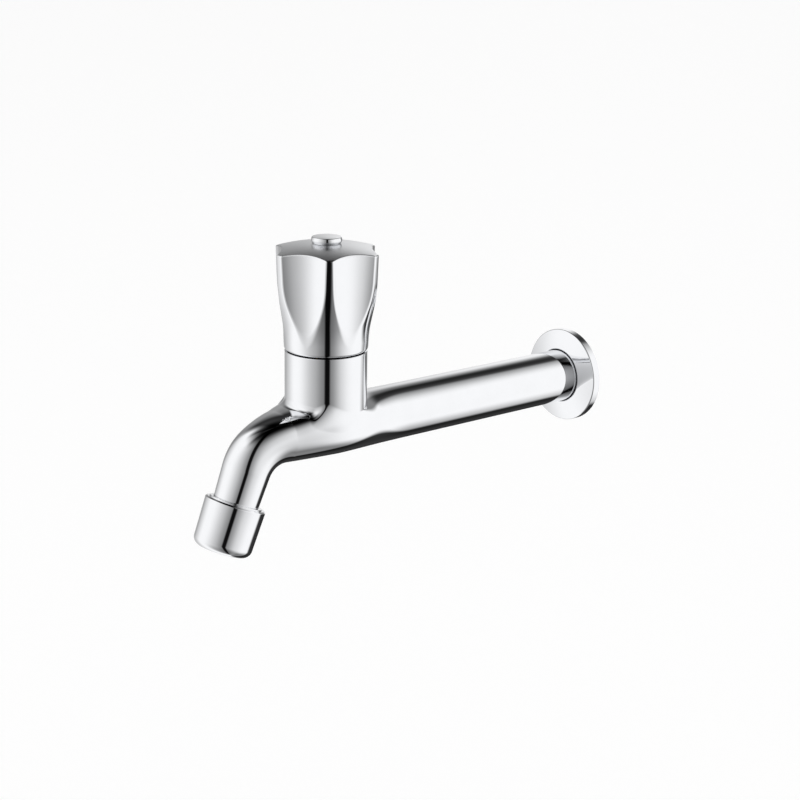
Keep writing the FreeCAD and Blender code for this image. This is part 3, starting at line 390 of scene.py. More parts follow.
def ring_faces(rows, count, closed=True):
    """Faces of a grid of rings: rows of points, each closed round."""
    row, col = np.meshgrid(np.arange(rows - 1), np.arange(count if closed else count - 1), indexing="ij")
    after = (col + 1) % count
    return np.stack([row * count + col, row * count + after,
                     (row + 1) * count + after, (row + 1) * count + col], -1).reshape(-1, 4)


def facing(points, faces, normals):
    """Faces turned so that they look the way that their normals point."""
    spot = points[faces]
    look = np.cross(spot[:, 1] - spot[:, 0], spot[:, 2] - spot[:, 0])
    wrong = (look * normals[faces].sum(1)).sum(1) < 0
    turned = faces.copy()
    turned[wrong] = faces[wrong][:, ::-1]
    return turned


def profile_patch(profile, angles, place, material=0):
    """A profile of (radius, height, normal out, normal up) stretches turned round an axis at given angles.

    Each stretch is a list of such rows, smooth within and creased against its neighbours."""
    made = []
    cos, sin = np.cos(angles), np.sin(angles)
    for stretch in profile:
        rows = np.array(stretch, float)
        points = np.stack([np.outer(rows[:, 0], cos), np.outer(rows[:, 0], sin),
                           np.repeat(rows[:, 1:2], len(angles), 1)], -1).reshape(-1, 3)
        normals = np.stack([np.outer(rows[:, 2], cos), np.outer(rows[:, 2], sin),
                            np.repeat(rows[:, 3:4], len(angles), 1)], -1).reshape(-1, 3)
        points, normals = place(points), place(normals, True)
        faces = facing(points, ring_faces(len(rows), len(angles)), normals)
        made.append(patch(points, faces, normals, material))
    return made


def rounded(corners, chord=0.12):
    """Stretches of a profile through (radius, height, rounding) corners, the outside on the right hand.

    A corner with a rounding is an arc within one stretch, and one without splits two stretches."""
    spots = [np.array(corner[:2], float) for corner in corners]
    stretches, current = [], []

    def add(spot, normal):
        current.append((max(spot[0], 0.0), spot[1], normal[0], normal[1]))

    def right(start, end):
        line = (end - start) / np.linalg.norm(end - start)
        return np.array([line[1], -line[0]])

    add(spots[0], right(spots[0], spots[1]))
    for i in range(1, len(spots) - 1):
        before, after = right(spots[i - 1], spots[i]), right(spots[i], spots[i + 1])
        radius = corners[i][2]
        if not radius:
            add(spots[i], before)
            stretches.append(current[:])
            current.clear()
            add(spots[i], after)
            continue
        turn = math.atan2(before[0] * after[1] - before[1] * after[0], float(before @ after))
        leg = radius * math.tan(abs(turn) / 2)
        start = spots[i] + leg * (spots[i - 1] - spots[i]) / np.linalg.norm(spots[i - 1] - spots[i])
        centre = start - math.copysign(radius, turn) * before
        steps = max(3, math.ceil(abs(turn) * radius / chord))
        steps = min(steps, 24)
        for step in range(steps + 1):
            angle = turn * step / steps
            normal = np.array([before[0] * math.cos(angle) - before[1] * math.sin(angle),
                               before[0] * math.sin(angle) + before[1] * math.cos(angle)])
            add(centre + math.copysign(radius, turn) * normal, normal)
    add(spots[-1], right(spots[-2], spots[-1]))
    stretches.append(current[:])
    return stretches


def upright(points, direction=False):
    """Places a lathe's own space on the neck's axis."""
    return points if direction else points + np.array([0, -REACH, 0])


def on_wall(points, direction=False):
    """Places a lathe's own space on the barrel's axis, height pointing out of the wall."""
    return np.stack([points[:, 0], -points[:, 2], points[:, 1]], -1)


def on_spout(points, direction=False):
    """Places a lathe's own space on the spout's end, height pointing along the flow."""
    centre, flow, side = (part[0] for part in line_frame(np.array([LINE_END + SPIGOT])))
    plane = points[:, 2:3] * flow + points[:, 1:2] * side
    if not direction:
        plane = plane + centre
    return np.stack([points[:, 0], -plane[:, 0] - (0 if direction else REACH), plane[:, 1]], -1)


def cad_patch(node, keep, material):
    """The faces of a CAD node that a test of their middles keeps, as drawn."""
    mesh = frame["nodes"][node].data
    spots = np.zeros(len(mesh.vertices) * 3)
    mesh.vertices.foreach_get("co", spots)
    corners = np.zeros(len(mesh.loops), int)
    mesh.loops.foreach_get("vertex_index", corners)
    normals = np.zeros(len(mesh.loops) * 3)
    mesh.corner_normals.foreach_get("vector", normals)
    points = spots.reshape(-1, 3)[corners] / MM
    faces = np.arange(len(corners)).reshape(-1, 3)
    kept = keep(points[faces].mean(1))
    chosen = faces[kept].ravel()
    triangles = np.arange(len(chosen)).reshape(-1, 3)
    return patch(points[chosen], triangles, normals.reshape(-1, 3)[chosen], material)


def open_loops(part):
    """The open borders of a patch, each as a list of points in order."""
    keys = [tuple(spot) for spot in np.round(part["points"], 4)]
    exact = dict(zip(keys, part["points"]))
    count = {}
    for face in part["faces"]:
        for i in range(len(face)):
            pair = (keys[face[i]], keys[face[(i + 1) % len(face)]])
            if pair[0] != pair[1]:
                count[pair] = count.get(pair, 0) + 1
    border = {a: b for a, b in count if (b, a) not in count}
    loops = []
    while border:
        start = next(iter(border))
        loop, spot = [start], border.pop(start)
        while spot != start and spot in border:
            loop.append(spot)
            spot = border.pop(spot)
        loops.append(np.array([exact[key] for key in loop]))
    return loops


def border_at(part, axis, level, place=lambda loop: loop):
    """The longest open border of a patch that lies at a level of one axis, once placed in another space."""
    near = LEVEL_SLACK / 2
    flat = [loop for loop in open_loops(part) if (np.abs(place(loop)[:, axis] - level) < near).all()]
    return max(flat, key=len)


def strip(outer, inner, axis_point, axis, normal, material=0):
    """Flat triangles between two rings of points in one plane."""
    axis = np.array(axis, float)
    first = np.cross(axis, [1.0, 0.2, 0.1])
    first /= np.linalg.norm(first)
    second = np.cross(axis, first)

    def by_angle(ring):
        arm = ring - np.array(axis_point)
        angle = np.arctan2(arm @ second, arm @ first)
        order = np.argsort(angle)
        return ring[order], angle[order]

    (a, at_a), (b, at_b) = by_angle(outer), by_angle(inner)
    points = np.concatenate([a, b])
    faces, i, j = [], 0, 0
    while i < len(a) or j < len(b):
        next_a = at_a[(i + 1) % len(a)] + 2 * math.pi * ((i + 1) // len(a))
        next_b = at_b[(j + 1) % len(b)] + 2 * math.pi * ((j + 1) // len(b))
        here, there = i % len(a), len(a) + j % len(b)
        if j >= len(b) or (i < len(a) and next_a <= next_b):
            faces.append((here, (i + 1) % len(a), there))
            i += 1
        else:
            faces.append((here, len(a) + (j + 1) % len(b), there))
            j += 1
    normals = np.repeat(np.array([normal], float), len(points), 0)
    faces = facing(points, np.array(faces), normals)
    return patch(points, faces, normals, material)


def make_piece(name, patches, materials, body, slot, *nodes):
    """One object of welded patches with exact normals, in place of the CAD nodes named."""
    points = np.concatenate([part["points"] for part in patches])
    keys = np.round(points / 2e-4).astype(np.int64)
    _, first, welded = np.unique(keys, axis=0, return_index=True, return_inverse=True)
    welded = welded.ravel()
    faces, normals, places, start = [], [], [], 0
    for part in patches:
        for face in part["faces"]:
            corners = welded[face + start]
            solid = [i for i in range(len(face)) if corners[i] != corners[i - 1]]
            if len(solid) > 2:
                faces.append(tuple(int(corner) for corner in corners[solid]))
                normals.extend(part["normals"][face[solid]])
                places.append(part["material"])
        start += len(part["points"])
    mesh = bpy.data.meshes.new(name)
    mesh.from_pydata(points[first] * MM, [], faces)
    mesh.polygons.foreach_set("material_index", places)
    mesh.polygons.foreach_set("use_smooth", [True] * len(faces))
    for material in materials:
        mesh.materials.append(material)
    mesh.normals_split_custom_set([tuple(normal) for normal in normals])
    piece = bpy.data.objects.new(name, mesh)
    bpy.context.scene.collection.objects.link(piece)
    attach(piece, body)
    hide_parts(*nodes)
    return piece


def even_ring(points, chosen, across, up):
    """The chosen points in order round their circle, and angles that space them evenly."""
    angle = np.arctan2(points[chosen, up], points[chosen, across])
    order = np.argsort(angle)
    even = 2 * math.pi * np.arange(len(chosen)) / len(chosen)
    even += (angle[order] - even).mean()
    return chosen[order], even


def neck_net():
    """The smooth meeting of neck, barrel and spout, and the angles of its three open rings."""
    low = (-NET_WIDTH, -NET_HALF - NET_STEP / 2, NET_FLOOR)
    high = (NET_WIDTH, NET_HALF + NET_STEP / 2, NET_ROOF)
    points, faces = net_cells(skin, low, high, NET_STEP)
    top, near = NET_ROOF - NET_STEP / 2, NET_STEP / 5
    picked = {
        "barrel": (np.flatnonzero(points[:, 1] < near - NET_HALF), 0, 2),
        "spout": (np.flatnonzero(points[:, 1] > NET_HALF - near), 0, 2),
        "neck": (np.flatnonzero(points[:, 2] > top - near), 0, 1),
    }
    level = {"barrel": (1, -NET_HALF), "spout": (1, NET_HALF), "neck": (2, top)}
    points = pull(skin, points)
    fixed = np.zeros(len(points), bool)
    rings = {}
    for name, (chosen, across, up) in picked.items():
        order, angles = even_ring(points, chosen, across, up)
        axis, value = level[name]
        radius = NECK if name == "neck" else arm_reach(value, angles)
        points[order, across] = radius * np.cos(angles)
        points[order, up] = radius * np.sin(angles)
        points[order, axis] = value
        fixed[order] = True
        rings[name] = angles
    for _ in range(NET_ROUNDS):
        points = relax(points, faces, fixed)
        points[~fixed] = pull(skin, points[~fixed], 2)
    points[~fixed] = pull(skin, points[~fixed])
    normals = unit(slope(skin, points))
    real, turned = bend_back(points, normals)
    return patch(real, facing(real, faces, turned), turned), rings


def line_rows(angles, stations):
    """Rings of the barrel or the spout at stations along their line."""
    angle, along = np.meshgrid(angles, stations)
    radius = arm_reach(along, angle)
    points = np.stack([radius * np.cos(angle), along, radius * np.sin(angle)], -1).reshape(-1, 3)
    normals = unit(slope(skin, points))
    real, turned = bend_back(points, normals)
    return patch(real, facing(real, ring_faces(len(stations), len(angles)), turned), turned)


def neck_place(points, direction=False):
    """Places a lathe's own space on the neck's axis, its second axis pointing out along the spout."""
    shift = 0 if direction else REACH
    return np.stack([points[:, 0], -points[:, 1] - shift, points[:, 2]], -1)


def inlet_place(points, direction=False):
    """Places a lathe's own space on the barrel's axis, height pointing into the wall."""
    return np.stack([points[:, 0], points[:, 2], points[:, 1]], -1)


def last_ring(part, count):
    """The last ring of a patch made of rings."""
    return part["points"][-count:]


def inlet_thread(angles):
    """The helical inlet thread, which fades in at the barrel and ends in a chamfer."""
    rows = np.linspace(0, INLET_END, round(INLET_END / THREAD_ROW) + 1)
    turn, height = np.meshgrid(angles, rows)

    def radius(turn, height):
        phase = (height / THREAD_PITCH - turn / (2 * math.pi)) % 1.0
        groove = np.clip(1 - np.abs(phase - 0.5) * 2 * THREAD_PITCH / THREAD_MOUTH, 0, 1)
        fade = np.clip((height - THREAD_START) / THREAD_RUNOUT, 0, 1)
        lead = np.maximum(height - (INLET_END - THREAD_LEAD), 0)
        return np.minimum(THREAD - THREAD_DEPTH * groove * fade, THREAD - lead)

    step, rise = 1e-3, 0.05
    r = radius(turn, height)
    around = (radius(turn + step, height) - radius(turn - step, height)) / (2 * step) / r
    along = (radius(turn, height + rise) - radius(turn, height - rise)) / (2 * rise)
    radial = np.stack([np.cos(turn), np.sin(turn), np.zeros_like(r)], -1)
    sideways = np.stack([-np.sin(turn), np.cos(turn), np.zeros_like(r)], -1)
    normals = radial - around[..., None] * sideways - along[..., None] * np.array([0, 0, 1.0])
    points = np.stack([r * np.cos(turn), r * np.sin(turn), height], -1).reshape(-1, 3)
    points, normals = inlet_place(points), unit(inlet_place(normals.reshape(-1, 3), True))
    faces = facing(points, ring_faces(len(rows), len(angles)), normals)
    return patch(points, faces, normals, 1)


def inner_casting(middle):
    """Whether a CAD face of the casting belongs to its water ways or its screwed end."""
    line = straighten(middle)
    round_line = np.hypot(line[:, 0], line[:, 2])
    past_end = line[:, 1] > LINE_END - LEVEL_SLACK
    on_barrel_end = middle[:, 1] > -LEVEL_SLACK
    deep = (skin(line) < -INNER_DEPTH) & (middle[:, 2] < NECK_TOP - LEVEL_SLACK)
    in_thread = round_line < INLET_BORE + INLET_SLACK
    on_spigot = round_line < SPIGOT_RADIUS + WALL_SLACK
    return np.where(past_end, on_spigot, np.where(on_barrel_end, in_thread, deep))


def tap_body(finishes):
    """The casting: a smooth outside, a helical inlet thread and the CAD's own water ways."""
    net, rings = neck_net()
    swell_end = -SWELL_SPAN[0]
    swell_rows, plain_rows = np.linspace(-NET_HALF, swell_end, 17), np.linspace(swell_end - 3, -REACH, 30)
    barrel_rows = np.concatenate([swell_rows, plain_rows])
    bend_rows = np.linspace(RUN, RUN + BEND * FALL, 36)
    drop_rows = np.linspace(bend_rows[-1], LINE_END, 8)[1:]
    spout_rows = np.concatenate([[NET_HALF], bend_rows, drop_rows])
    barrel = line_rows(rings["barrel"], barrel_rows)
    spout = line_rows(rings["spout"], spout_rows)
    top = [(NECK, NET_ROOF - NET_STEP / 2, 0), (NECK, NECK_TOP, NECK_EDGE), (NECK - NECK_LEDGE, NECK_TOP, 0)]
    neck = profile_patch(rounded(top), rings["neck"], neck_place)
    thread = inlet_thread(rings["barrel"])
    shoulder = profile_patch(rounded([(THREAD, 0, 0), (BARREL, 0, 0)]), rings["barrel"], inlet_place)
    inside = cad_patch("tap_body", inner_casting, 1)
    axis_point = np.array([0, -REACH, 0])
    recess = border_at(inside, 2, NECK_TOP)
    mouth = border_at(inside, 1, INLET_END)
    shoulder_in = border_at(inside, 1, LINE_END, straighten)
    centre, flow, side = (part[0] for part in line_frame(np.array([LINE_END])))
    spout_end = np.array([0, -REACH - centre[0], centre[1]])
    spout_flow = np.array([0, -flow[0], flow[1]])
    joins = [
        strip(last_ring(neck[-1], len(rings["neck"])), recess, axis_point, (0, 0, 1), (0, 0, 1)),
        strip(last_ring(thread, len(rings["barrel"])), mouth, (0, 0, 0), (0, 1, 0), (0, 1, 0), 1),
        strip(last_ring(spout, len(rings["spout"])), shoulder_in, spout_end, spout_flow, spout_flow),
    ]
    patches = [net, barrel, spout, *neck, thread, *shoulder, inside, *joins]
    both = [finishes["chrome"], finishes["brass"]]
    return make_piece("tap_body_casting", patches, both, "tap", "chrome", "tap_body")


def flat_profile(stretches):
    """Radius and height along a profile whose height only grows."""
    rows = np.concatenate([np.array(stretch)[:, :2] for stretch in stretches])
    order = np.argsort(rows[:, 1], kind="stable")
    return rows[order, 0], rows[order, 1]


SIDE_ROWS = rounded([
    (FOOT - FOOT_WALL, KNOB_LOW, 0), (FOOT, KNOB_LOW, FOOT_ROUND), (*WAIST, FLARE_ROUND),
    (*KNOB_SHOULDER, SHOULDER_ROUND),
    (*(rim + (rim - shoulder) * PAST_RIM for rim, shoulder in zip(RIM, KNOB_SHOULDER)), 0)])
SIDE_RADIUS, SIDE_HEIGHT = flat_profile(SIDE_ROWS)
DOME_CENTRE = ((KNOB_TOP ** 2 + WELL ** 2) - (RIM[1] ** 2 + RIM[0] ** 2)) / (2 * (KNOB_TOP - RIM[1]))
DOME_RADIUS = math.hypot(RIM[0], RIM[1] - DOME_CENTRE)


def flute_size(height):
    """Radius of the flutes at a height, and how far from the knob's axis their middles are."""
    radius = np.interp(height, FLUTE_SPAN, (FLUTE, FLUTE_TOP))
    return radius, FLUTE_AXIS + FLUTE_DRIFT * (radius - FLUTE)


def knob_field(points):
    """Field of the knob's outside, on the knob's own axis."""
    x, y, z = points.T
    field = np.hypot(x, y) - np.interp(z, SIDE_HEIGHT, SIDE_RADIUS)
    ease = LEAST_ROUND + (RIDGE_ROUND - LEAST_ROUND) * smooth_step(z - KNOB_LOW, *RIDGE_ROUND_RISE)
    size, out = flute_size(z)
    for flute in range(RIDGES):
        angle = KNOB_TURN + flute * 2 * math.pi / RIDGES
        hollow = size - np.hypot(x - out * math.cos(angle), y - out * math.sin(angle))
        field = round_common(field, hollow, ease)
    dome = hypot3(x, y, z - DOME_CENTRE) - DOME_RADIUS
    return round_common(field, dome, RIM_ROUND)


def flute_edge(radius, height):
    """Half the angle of a flute where the knob has that radius."""
    size, out = flute_size(height)
    cosine = (radius ** 2 + out ** 2 - size ** 2) / (2 * radius * out)
    return np.arccos(np.clip(cosine, -1, 1))


def flute_reach(angle, height):
    """Radius of the flute's wall at an angle from its middle, and no limit where the flute isn't."""
    size, out = flute_size(height)
    inner = np.maximum(size ** 2 - (out * np.sin(angle)) ** 2, 0)
    return np.where(inner > 0, out * np.cos(angle) - np.sqrt(inner), np.inf)


def knob_sector(radius, height):
    """Angles of one ridge and flute's columns at a radius, from the flute's middle, following its edges."""
    half_sector = math.pi / RIDGES
    least_edge, fine_width, fine_share = math.radians(1.3), 0.75, 0.45
    edge = math.hypot(float(flute_edge(radius, height)), least_edge)
    reach = min(fine_width / radius, fine_share * edge, fine_share * (half_sector - edge))
    half = np.concatenate([
        np.linspace(0, edge - reach, 11)[:-1],
        np.linspace(edge - reach, edge + reach, 11),
        np.linspace(edge + reach, half_sector, 8)[1:-1]])
    return np.concatenate([half, [half_sector], 2 * half_sector - half[:0:-1]])


def knob_ring(share):
    """Angles, radii and heights of a ring on the knob's side, at a share of the way up to its rim."""
    low = KNOB_LOW + FOOT_ROUND + WALL_SLACK / 2
    flat = low + share * (RIM[1] - low)
    sector = knob_sector(float(np.interp(flat, SIDE_HEIGHT, SIDE_RADIUS)), flat)
    reach = flute_reach(np.minimum(sector, 2 * math.pi / RIDGES - sector), flat)
    rim = np.minimum(RIM[0], reach)
    edge = DOME_CENTRE + np.sqrt(DOME_RADIUS ** 2 - rim ** 2)
    height = low + share * (edge - low)
    side = np.minimum(np.interp(height, SIDE_HEIGHT, SIDE_RADIUS), reach)
    return sector, side, height


def round_knob(sector, radius, height):
    """One ring of points round the knob, from one flute and ridge."""
    turns = KNOB_TURN + 2 * math.pi / RIDGES * np.arange(RIDGES)
    angles = (turns[:, None] + sector[None, :]).ravel()
    radius, height = (np.tile(np.broadcast_to(part, sector.shape), RIDGES) for part in (radius, height))
    return np.stack([radius * np.cos(angles), radius * np.sin(angles), height], -1), angles


def knob_outside():
    """The knob's foot, fluted side and dome as one patch, and the angles of its first and last ring."""
    near_edge = np.array([1.5, 1.1, 0.8, 0.6, 0.45, 0.3, 0.2, 0.1, 0.0])
    side_gap, dome_gap = 2.2, 2.4
    height, width = RIM[1] - KNOB_LOW - FOOT_ROUND, RIM[0] - WELL
    shares = np.concatenate([np.linspace(0, 1 - side_gap / height, 60), 1 - near_edge / height])
    side_rings = [knob_ring(share) for share in shares]
    sector, rim, edge = side_rings[-1]
    inward = np.concatenate([near_edge[::-1][1:] / width, np.linspace(dome_gap / width, 1, 18)])
    dome_rings = []
    for share in inward:
        radius = rim + share * (WELL - rim)
        dome_rings.append((sector, radius, DOME_CENTRE + np.sqrt(DOME_RADIUS ** 2 - radius ** 2)))
    rings = [round_knob(*ring) for ring in side_rings + dome_rings]
    first_angles, last_angles = rings[0][1], rings[-1][1]
    points = np.concatenate([ring[0] for ring in rings])
    count = len(first_angles)
    free = slice(0, len(points) - count)
    points[free] = pull(knob_field, points[free])
    normals = unit(slope(knob_field, points))
    foot_rows = [row for row in SIDE_ROWS[0] if row[1] < KNOB_LOW + FOOT_ROUND - LEVEL_SLACK][1:]
    foot = profile_patch([foot_rows], first_angles, lambda part, direction=False: part)[0]
    points = np.concatenate([foot["points"], points])
    normals = np.concatenate([foot["normals"], normals])
    faces = ring_faces(len(rings) + len(foot_rows), count)
    return patch(points, facing(points, faces, normals), normals), first_angles, last_angles


def moved(part, place):
    """A patch moved to its place on the tap."""
    points, normals = place(part["points"]), place(part["normals"], True)
    return patch(points, facing(points, part["faces"], normals), normals, part["material"])


def inner_knob(middle):
    """Whether a CAD face of the knob belongs to its cavity, hub or socket."""
    local = middle + np.array([0, REACH, 0])
    radius = np.hypot(local[:, 0], local[:, 1])
    past_screw = (radius < WELL + WALL_SLACK) & (radius > SCREW_HOLE + SCREW_SLACK)
    in_well = past_screw & (local[:, 2] > WELL_FLOOR - LEVEL_SLACK)
    return (knob_field(local) < -INNER_DEPTH) & ~in_well & (local[:, 2] > KNOB_LOW + LEVEL_SLACK)


def handle_knob(finishes):
    """The fluted knob: a smooth outside with rounded ridges over the CAD's own hub and cavity."""
    outside, foot_angles, well_angles = knob_outside()
    outside = moved(outside, upright)
    count = len(foot_angles)
    well = profile_patch([[(WELL, KNOB_TOP, -1, 0), (WELL, WELL_FLOOR, -1, 0)]], well_angles, upright)
    inside = cad_patch("handle_knob", inner_knob, 0)
    cavity = border_at(inside, 2, KNOB_LOW)
    screw_hole = border_at(inside, 2, WELL_FLOOR)
    axis_point = np.array([0, -REACH, 0])
    joins = [
        strip(outside["points"][:count], cavity, axis_point, (0, 0, 1), (0, 0, -1)),
        strip(last_ring(well[0], count), screw_hole, axis_point, (0, 0, 1), (0, 0, 1)),
    ]
    patches = [outside, *well, inside, *joins]
    return make_piece("handle_knob_fluted", patches, [finishes["knob"]], "handle", "chrome", "handle_knob")


def even_angles(count):
    """Angles evenly round a circle."""
    return 2 * math.pi * np.arange(count) / count


def dome_rows(radius, height, ball, steps):
    """Rows of a shallow dome from its edge to its middle."""
    reach = radius * (1 - np.arange(steps + 1) / steps)
    drop = math.sqrt(ball ** 2 - radius ** 2)
    return [(r, height + math.sqrt(ball ** 2 - r ** 2) - drop, r / ball, math.sqrt(1 - (r / ball) ** 2))
            for r in reach]


def handle_cap(finishes):
    """The button on the screw well."""
    foot = CAP_BOX[1][2] - CAP_HEIGHT - CAP_CREST
    shoulder = foot + CAP_HEIGHT - CAP_DOME
    low = CAP_BOX[0][2]
    top = CAP_RIM - CAP_RIM_ROUND
    ball = (top ** 2 + CAP_DOME ** 2) / (2 * CAP_DOME)
    stretches = rounded([
        (CAP_BORE, low, 0), (CAP_STEM, low, 0), (CAP_STEM, foot, 0), (CAP_FOOT, foot, 0),
        (CAP_RADIUS, foot + CAP_SWELL, CAP_SIDE_ROUND), (CAP_RIM, shoulder, CAP_RIM_ROUND),
        (top, shoulder + CAP_CREST, 0)])
    edge = stretches[-1][-1]
    stretches.append(dome_rows(edge[0], edge[1], ball, 14))
    stretches.append([(0, foot, 0, -1), (CAP_BORE, foot, 0, -1)])
    stretches.append([(CAP_BORE, foot, -1, 0), (CAP_BORE, low, -1, 0)])
    patches = profile_patch(stretches, even_angles(CAP_SIDES), upright)
    return make_piece("handle_cap_button", patches, [finishes["chrome"]], "handle", "chrome", "handle_cap")


def aerator_sleeve(finishes):
    """The sleeve on the spout's end, with its stepped rim and rounded mouth."""
    rim_outside = SLEEVE_SKIRT + SLEEVE_RIM_WALL
    lip_top = SLEEVE_END - SLEEVE_LIP_HEIGHT
    corners = [
        (SLEEVE_SKIRT, SLEEVE_RIM, 0), (rim_outside, SLEEVE_RIM, SLEEVE_RIM_ROUND),
        (rim_outside, SLEEVE_STEP, 0), (SLEEVE - SLEEVE_STEP_INSET, SLEEVE_STEP, SLEEVE_STEP_ROUND),
        (SLEEVE, SLEEVE_TOP, SLEEVE_EDGE_ROUND), (SLEEVE_MOUTH, SLEEVE_END, SLEEVE_ROUND),
        (SLEEVE_LIP, SLEEVE_END, SLEEVE_EDGE_ROUND), (SLEEVE_LIP, lip_top, 0),
        (SLEEVE_BORE, lip_top, 0), (SLEEVE_BORE, SLEEVE_BORE_TOP, 0),
        (SLEEVE_SKIRT, SLEEVE_BORE_TOP, 0), (SLEEVE_SKIRT, SLEEVE_RIM, 0)]
    patches = profile_patch(rounded(corners), even_angles(SLEEVE_SIDES), on_spout)
    chrome = [finishes["chrome"]]
    return make_piece("aerator_sleeve_shell", patches, chrome, "tap", "chrome", "aerator_sleeve")


def wall_flange(finishes):
    """The cover plate at the wall, with the collar that holds its grip ring."""
    height = -FLANGE_BOX[0][1]
    radius = FLANGE_BOX[1][0]
    back, dish = height - FLANGE_WALL, radius - FLANGE_WALL
    collar_outside = FLANGE_COLLAR + COLLAR_WALL

    def face(reach):
        """Height of the flared face at a radius."""
        return height + (radius - reach) * (FLANGE_FLARE[0] + FLANGE_FLARE[1] * (radius - reach))

    margin = 2
    reach = np.linspace(radius - margin, FLANGE_HOLE + margin, 14)
    steep = FLANGE_FLARE[0] + 2 * FLANGE_FLARE[1] * (radius - reach)
    size = np.hypot(1, steep)
    stretches = rounded([
        (dish, 0, 0), (radius, 0, FLANGE_FOOT_ROUND), (radius, height, FLANGE_EDGE),
        (reach[0], face(reach[0]), 0)])
    stretches.append(list(zip(reach, face(reach), steep / size, 1 / size)))
    stretches += rounded([
        (reach[-1], face(reach[-1]), 0), (FLANGE_HOLE, face(FLANGE_HOLE), FLANGE_LIP), (FLANGE_HOLE, back, 0),
        (FLANGE_COLLAR, back, 0), (FLANGE_COLLAR, COLLAR_BACK, 0), (collar_outside, COLLAR_BACK, 0),
        (collar_outside, back, 0), (dish, back, 0), (dish, 0, 0)])
    patches = profile_patch(stretches, even_angles(FLANGE_SIDES), on_wall)
    return make_piece("wall_flange_plate", patches, [finishes["chrome"]], "flange", "chrome", "wall_flange")


def new_material(name):
    """A material with a principled shader, and a function that adds a node with its inputs set."""
    material = bpy.data.materials.new(name)
    material.use_nodes = True
    tree = material.node_tree
    shader = tree.nodes["Principled BSDF"]

    def add(kind, **inputs):
        node = tree.nodes.new(f"ShaderNode{kind}")
        for key, value in inputs.items():
            if key in node.inputs:
                node.inputs[key].default_value = value
            else:
                setattr(node, key, value)
        return node

    return material, shader, add, tree.links.new


def surface(name, colour, metallic, rough, rough_spread, grain, bump, second_colour):
    """A procedural material: two near tones, an uneven roughness and a fine bump from noise."""
    material, shader, add, link = new_material(name)
    place = add("TexCoord")
    noise = add("TexNoise", Scale=grain, Detail=4.0, Roughness=0.55)
    link(place.outputs["Object"], noise.inputs["Vector"])
    tones = add("ValToRGB")
    tones.color_ramp.elements[0].position = 0.3
    tones.color_ramp.elements[0].color = (*second_colour, 1)
    tones.color_ramp.elements[1].position = 0.7
    tones.color_ramp.elements[1].color = (*colour, 1)
    link(noise.outputs["Fac"], tones.inputs["Fac"])
    link(tones.outputs["Color"], shader.inputs["Base Color"])
    spread = add("MapRange")
    spread.inputs["To Min"].default_value = rough - rough_spread
    spread.inputs["To Max"].default_value = rough + rough_spread
    link(noise.outputs["Fac"], spread.inputs["Value"])
    link(spread.outputs["Result"], shader.inputs["Roughness"])
    relief = add("Bump", Strength=1.0, Distance=bump)
    link(noise.outputs["Fac"], relief.inputs["Height"])
    link(relief.outputs["Normal"], shader.inputs["Normal"])
    shader.inputs["Metallic"].default_value = metallic
    return material, shader


def soften_top(material, shader):
    """Makes a finish satin above the knob's rim."""
    tree = material.node_tree
    fine = shader.inputs["Roughness"].links[0].from_socket
    place = tree.nodes.new("ShaderNodeTexCoord")
    split = tree.nodes.new("ShaderNodeSeparateXYZ")
    tree.links.new(place.outputs["Object"], split.inputs[0])
    above = tree.nodes.new("ShaderNodeMapRange")
    above.interpolation_type = "SMOOTHSTEP"
    above.inputs["From Min"].default_value = (RIM[1] + SATIN_RISE[0]) * MM
    above.inputs["From Max"].default_value = (RIM[1] + SATIN_RISE[1]) * MM
    above.inputs["To Max"].default_value = SATIN_ROUGHNESS
    tree.links.new(split.outputs["Z"], above.inputs["Value"])
    rougher = tree.nodes.new("ShaderNodeMath")
    tree.links.new(fine, rougher.inputs[0])
    tree.links.new(above.outputs["Result"], rougher.inputs[1])
    tree.links.new(rougher.outputs[0], shader.inputs["Roughness"])


def make_materials():
    """Every finish of the tap, by the record's slot, and the knob's own."""
    made = {slot: surface(*finish) for slot, finish in FINISHES.items()}
    soften_top(*made["knob"])
    plastic, ceramic = made["white_plastic"][1], made["ceramic"][1]
    plastic.inputs["Subsurface Weight"].default_value = 0.05
    plastic.inputs["Subsurface Radius"].default_value = (MM, MM, MM)
    ceramic.inputs["Coat Weight"].default_value = 0.3
    return {slot: material for slot, (material, shader) in made.items()}


def dress_cad_nodes(finishes):
    """Gives every CAD node the finish of its slot."""
    for part in frame["record"]["subparts"]:
        mesh = frame["nodes"][part["node"]].data
        mesh.materials.clear()
        mesh.materials.append(finishes[part["material_slot"]])


def make_camera():
    """The camera at the photo's place, aimed by where it shows the crossing of neck and barrel axes."""
    turn, rise, roll = (math.radians(angle) for angle in (CAMERA_TURN, CAMERA_RISE, CAMERA_ROLL))
    right = Vector((math.cos(turn), math.sin(turn), 0))
    back = Vector((math.sin(turn) * math.cos(rise), -math.cos(turn) * math.cos(rise), math.sin(rise)))
    up = back.cross(right)
    level_right, level_up = right, up
    right = level_right * math.cos(roll) + level_up * math.sin(roll)
    up = level_up * math.cos(roll) - level_right * math.sin(roll)
    pixels = CAMERA_LENS * IMAGE_SIZE / SENSOR
    across = (CROSSING_PIXEL[0] - IMAGE_SIZE / 2) * CAMERA_DISTANCE / pixels
    above = (IMAGE_SIZE / 2 - CROSSING_PIXEL[1]) * CAMERA_DISTANCE / pixels
    crossing = Vector((0, -REACH * MM, 0))
    place = crossing - right * across - up * above + back * CAMERA_DISTANCE
    data = bpy.data.cameras.new("photo_camera")
    data.lens, data.sensor_width = CAMERA_LENS, SENSOR
    data.clip_start, data.clip_end = 0.05, 100
    camera = bpy.data.objects.new("photo_camera", data)
    camera.matrix_world = Matrix.Translation(place) @ Matrix((right, up, back)).transposed().to_4x4()
    bpy.context.scene.collection.objects.link(camera)
    bpy.context.scene.camera = camera


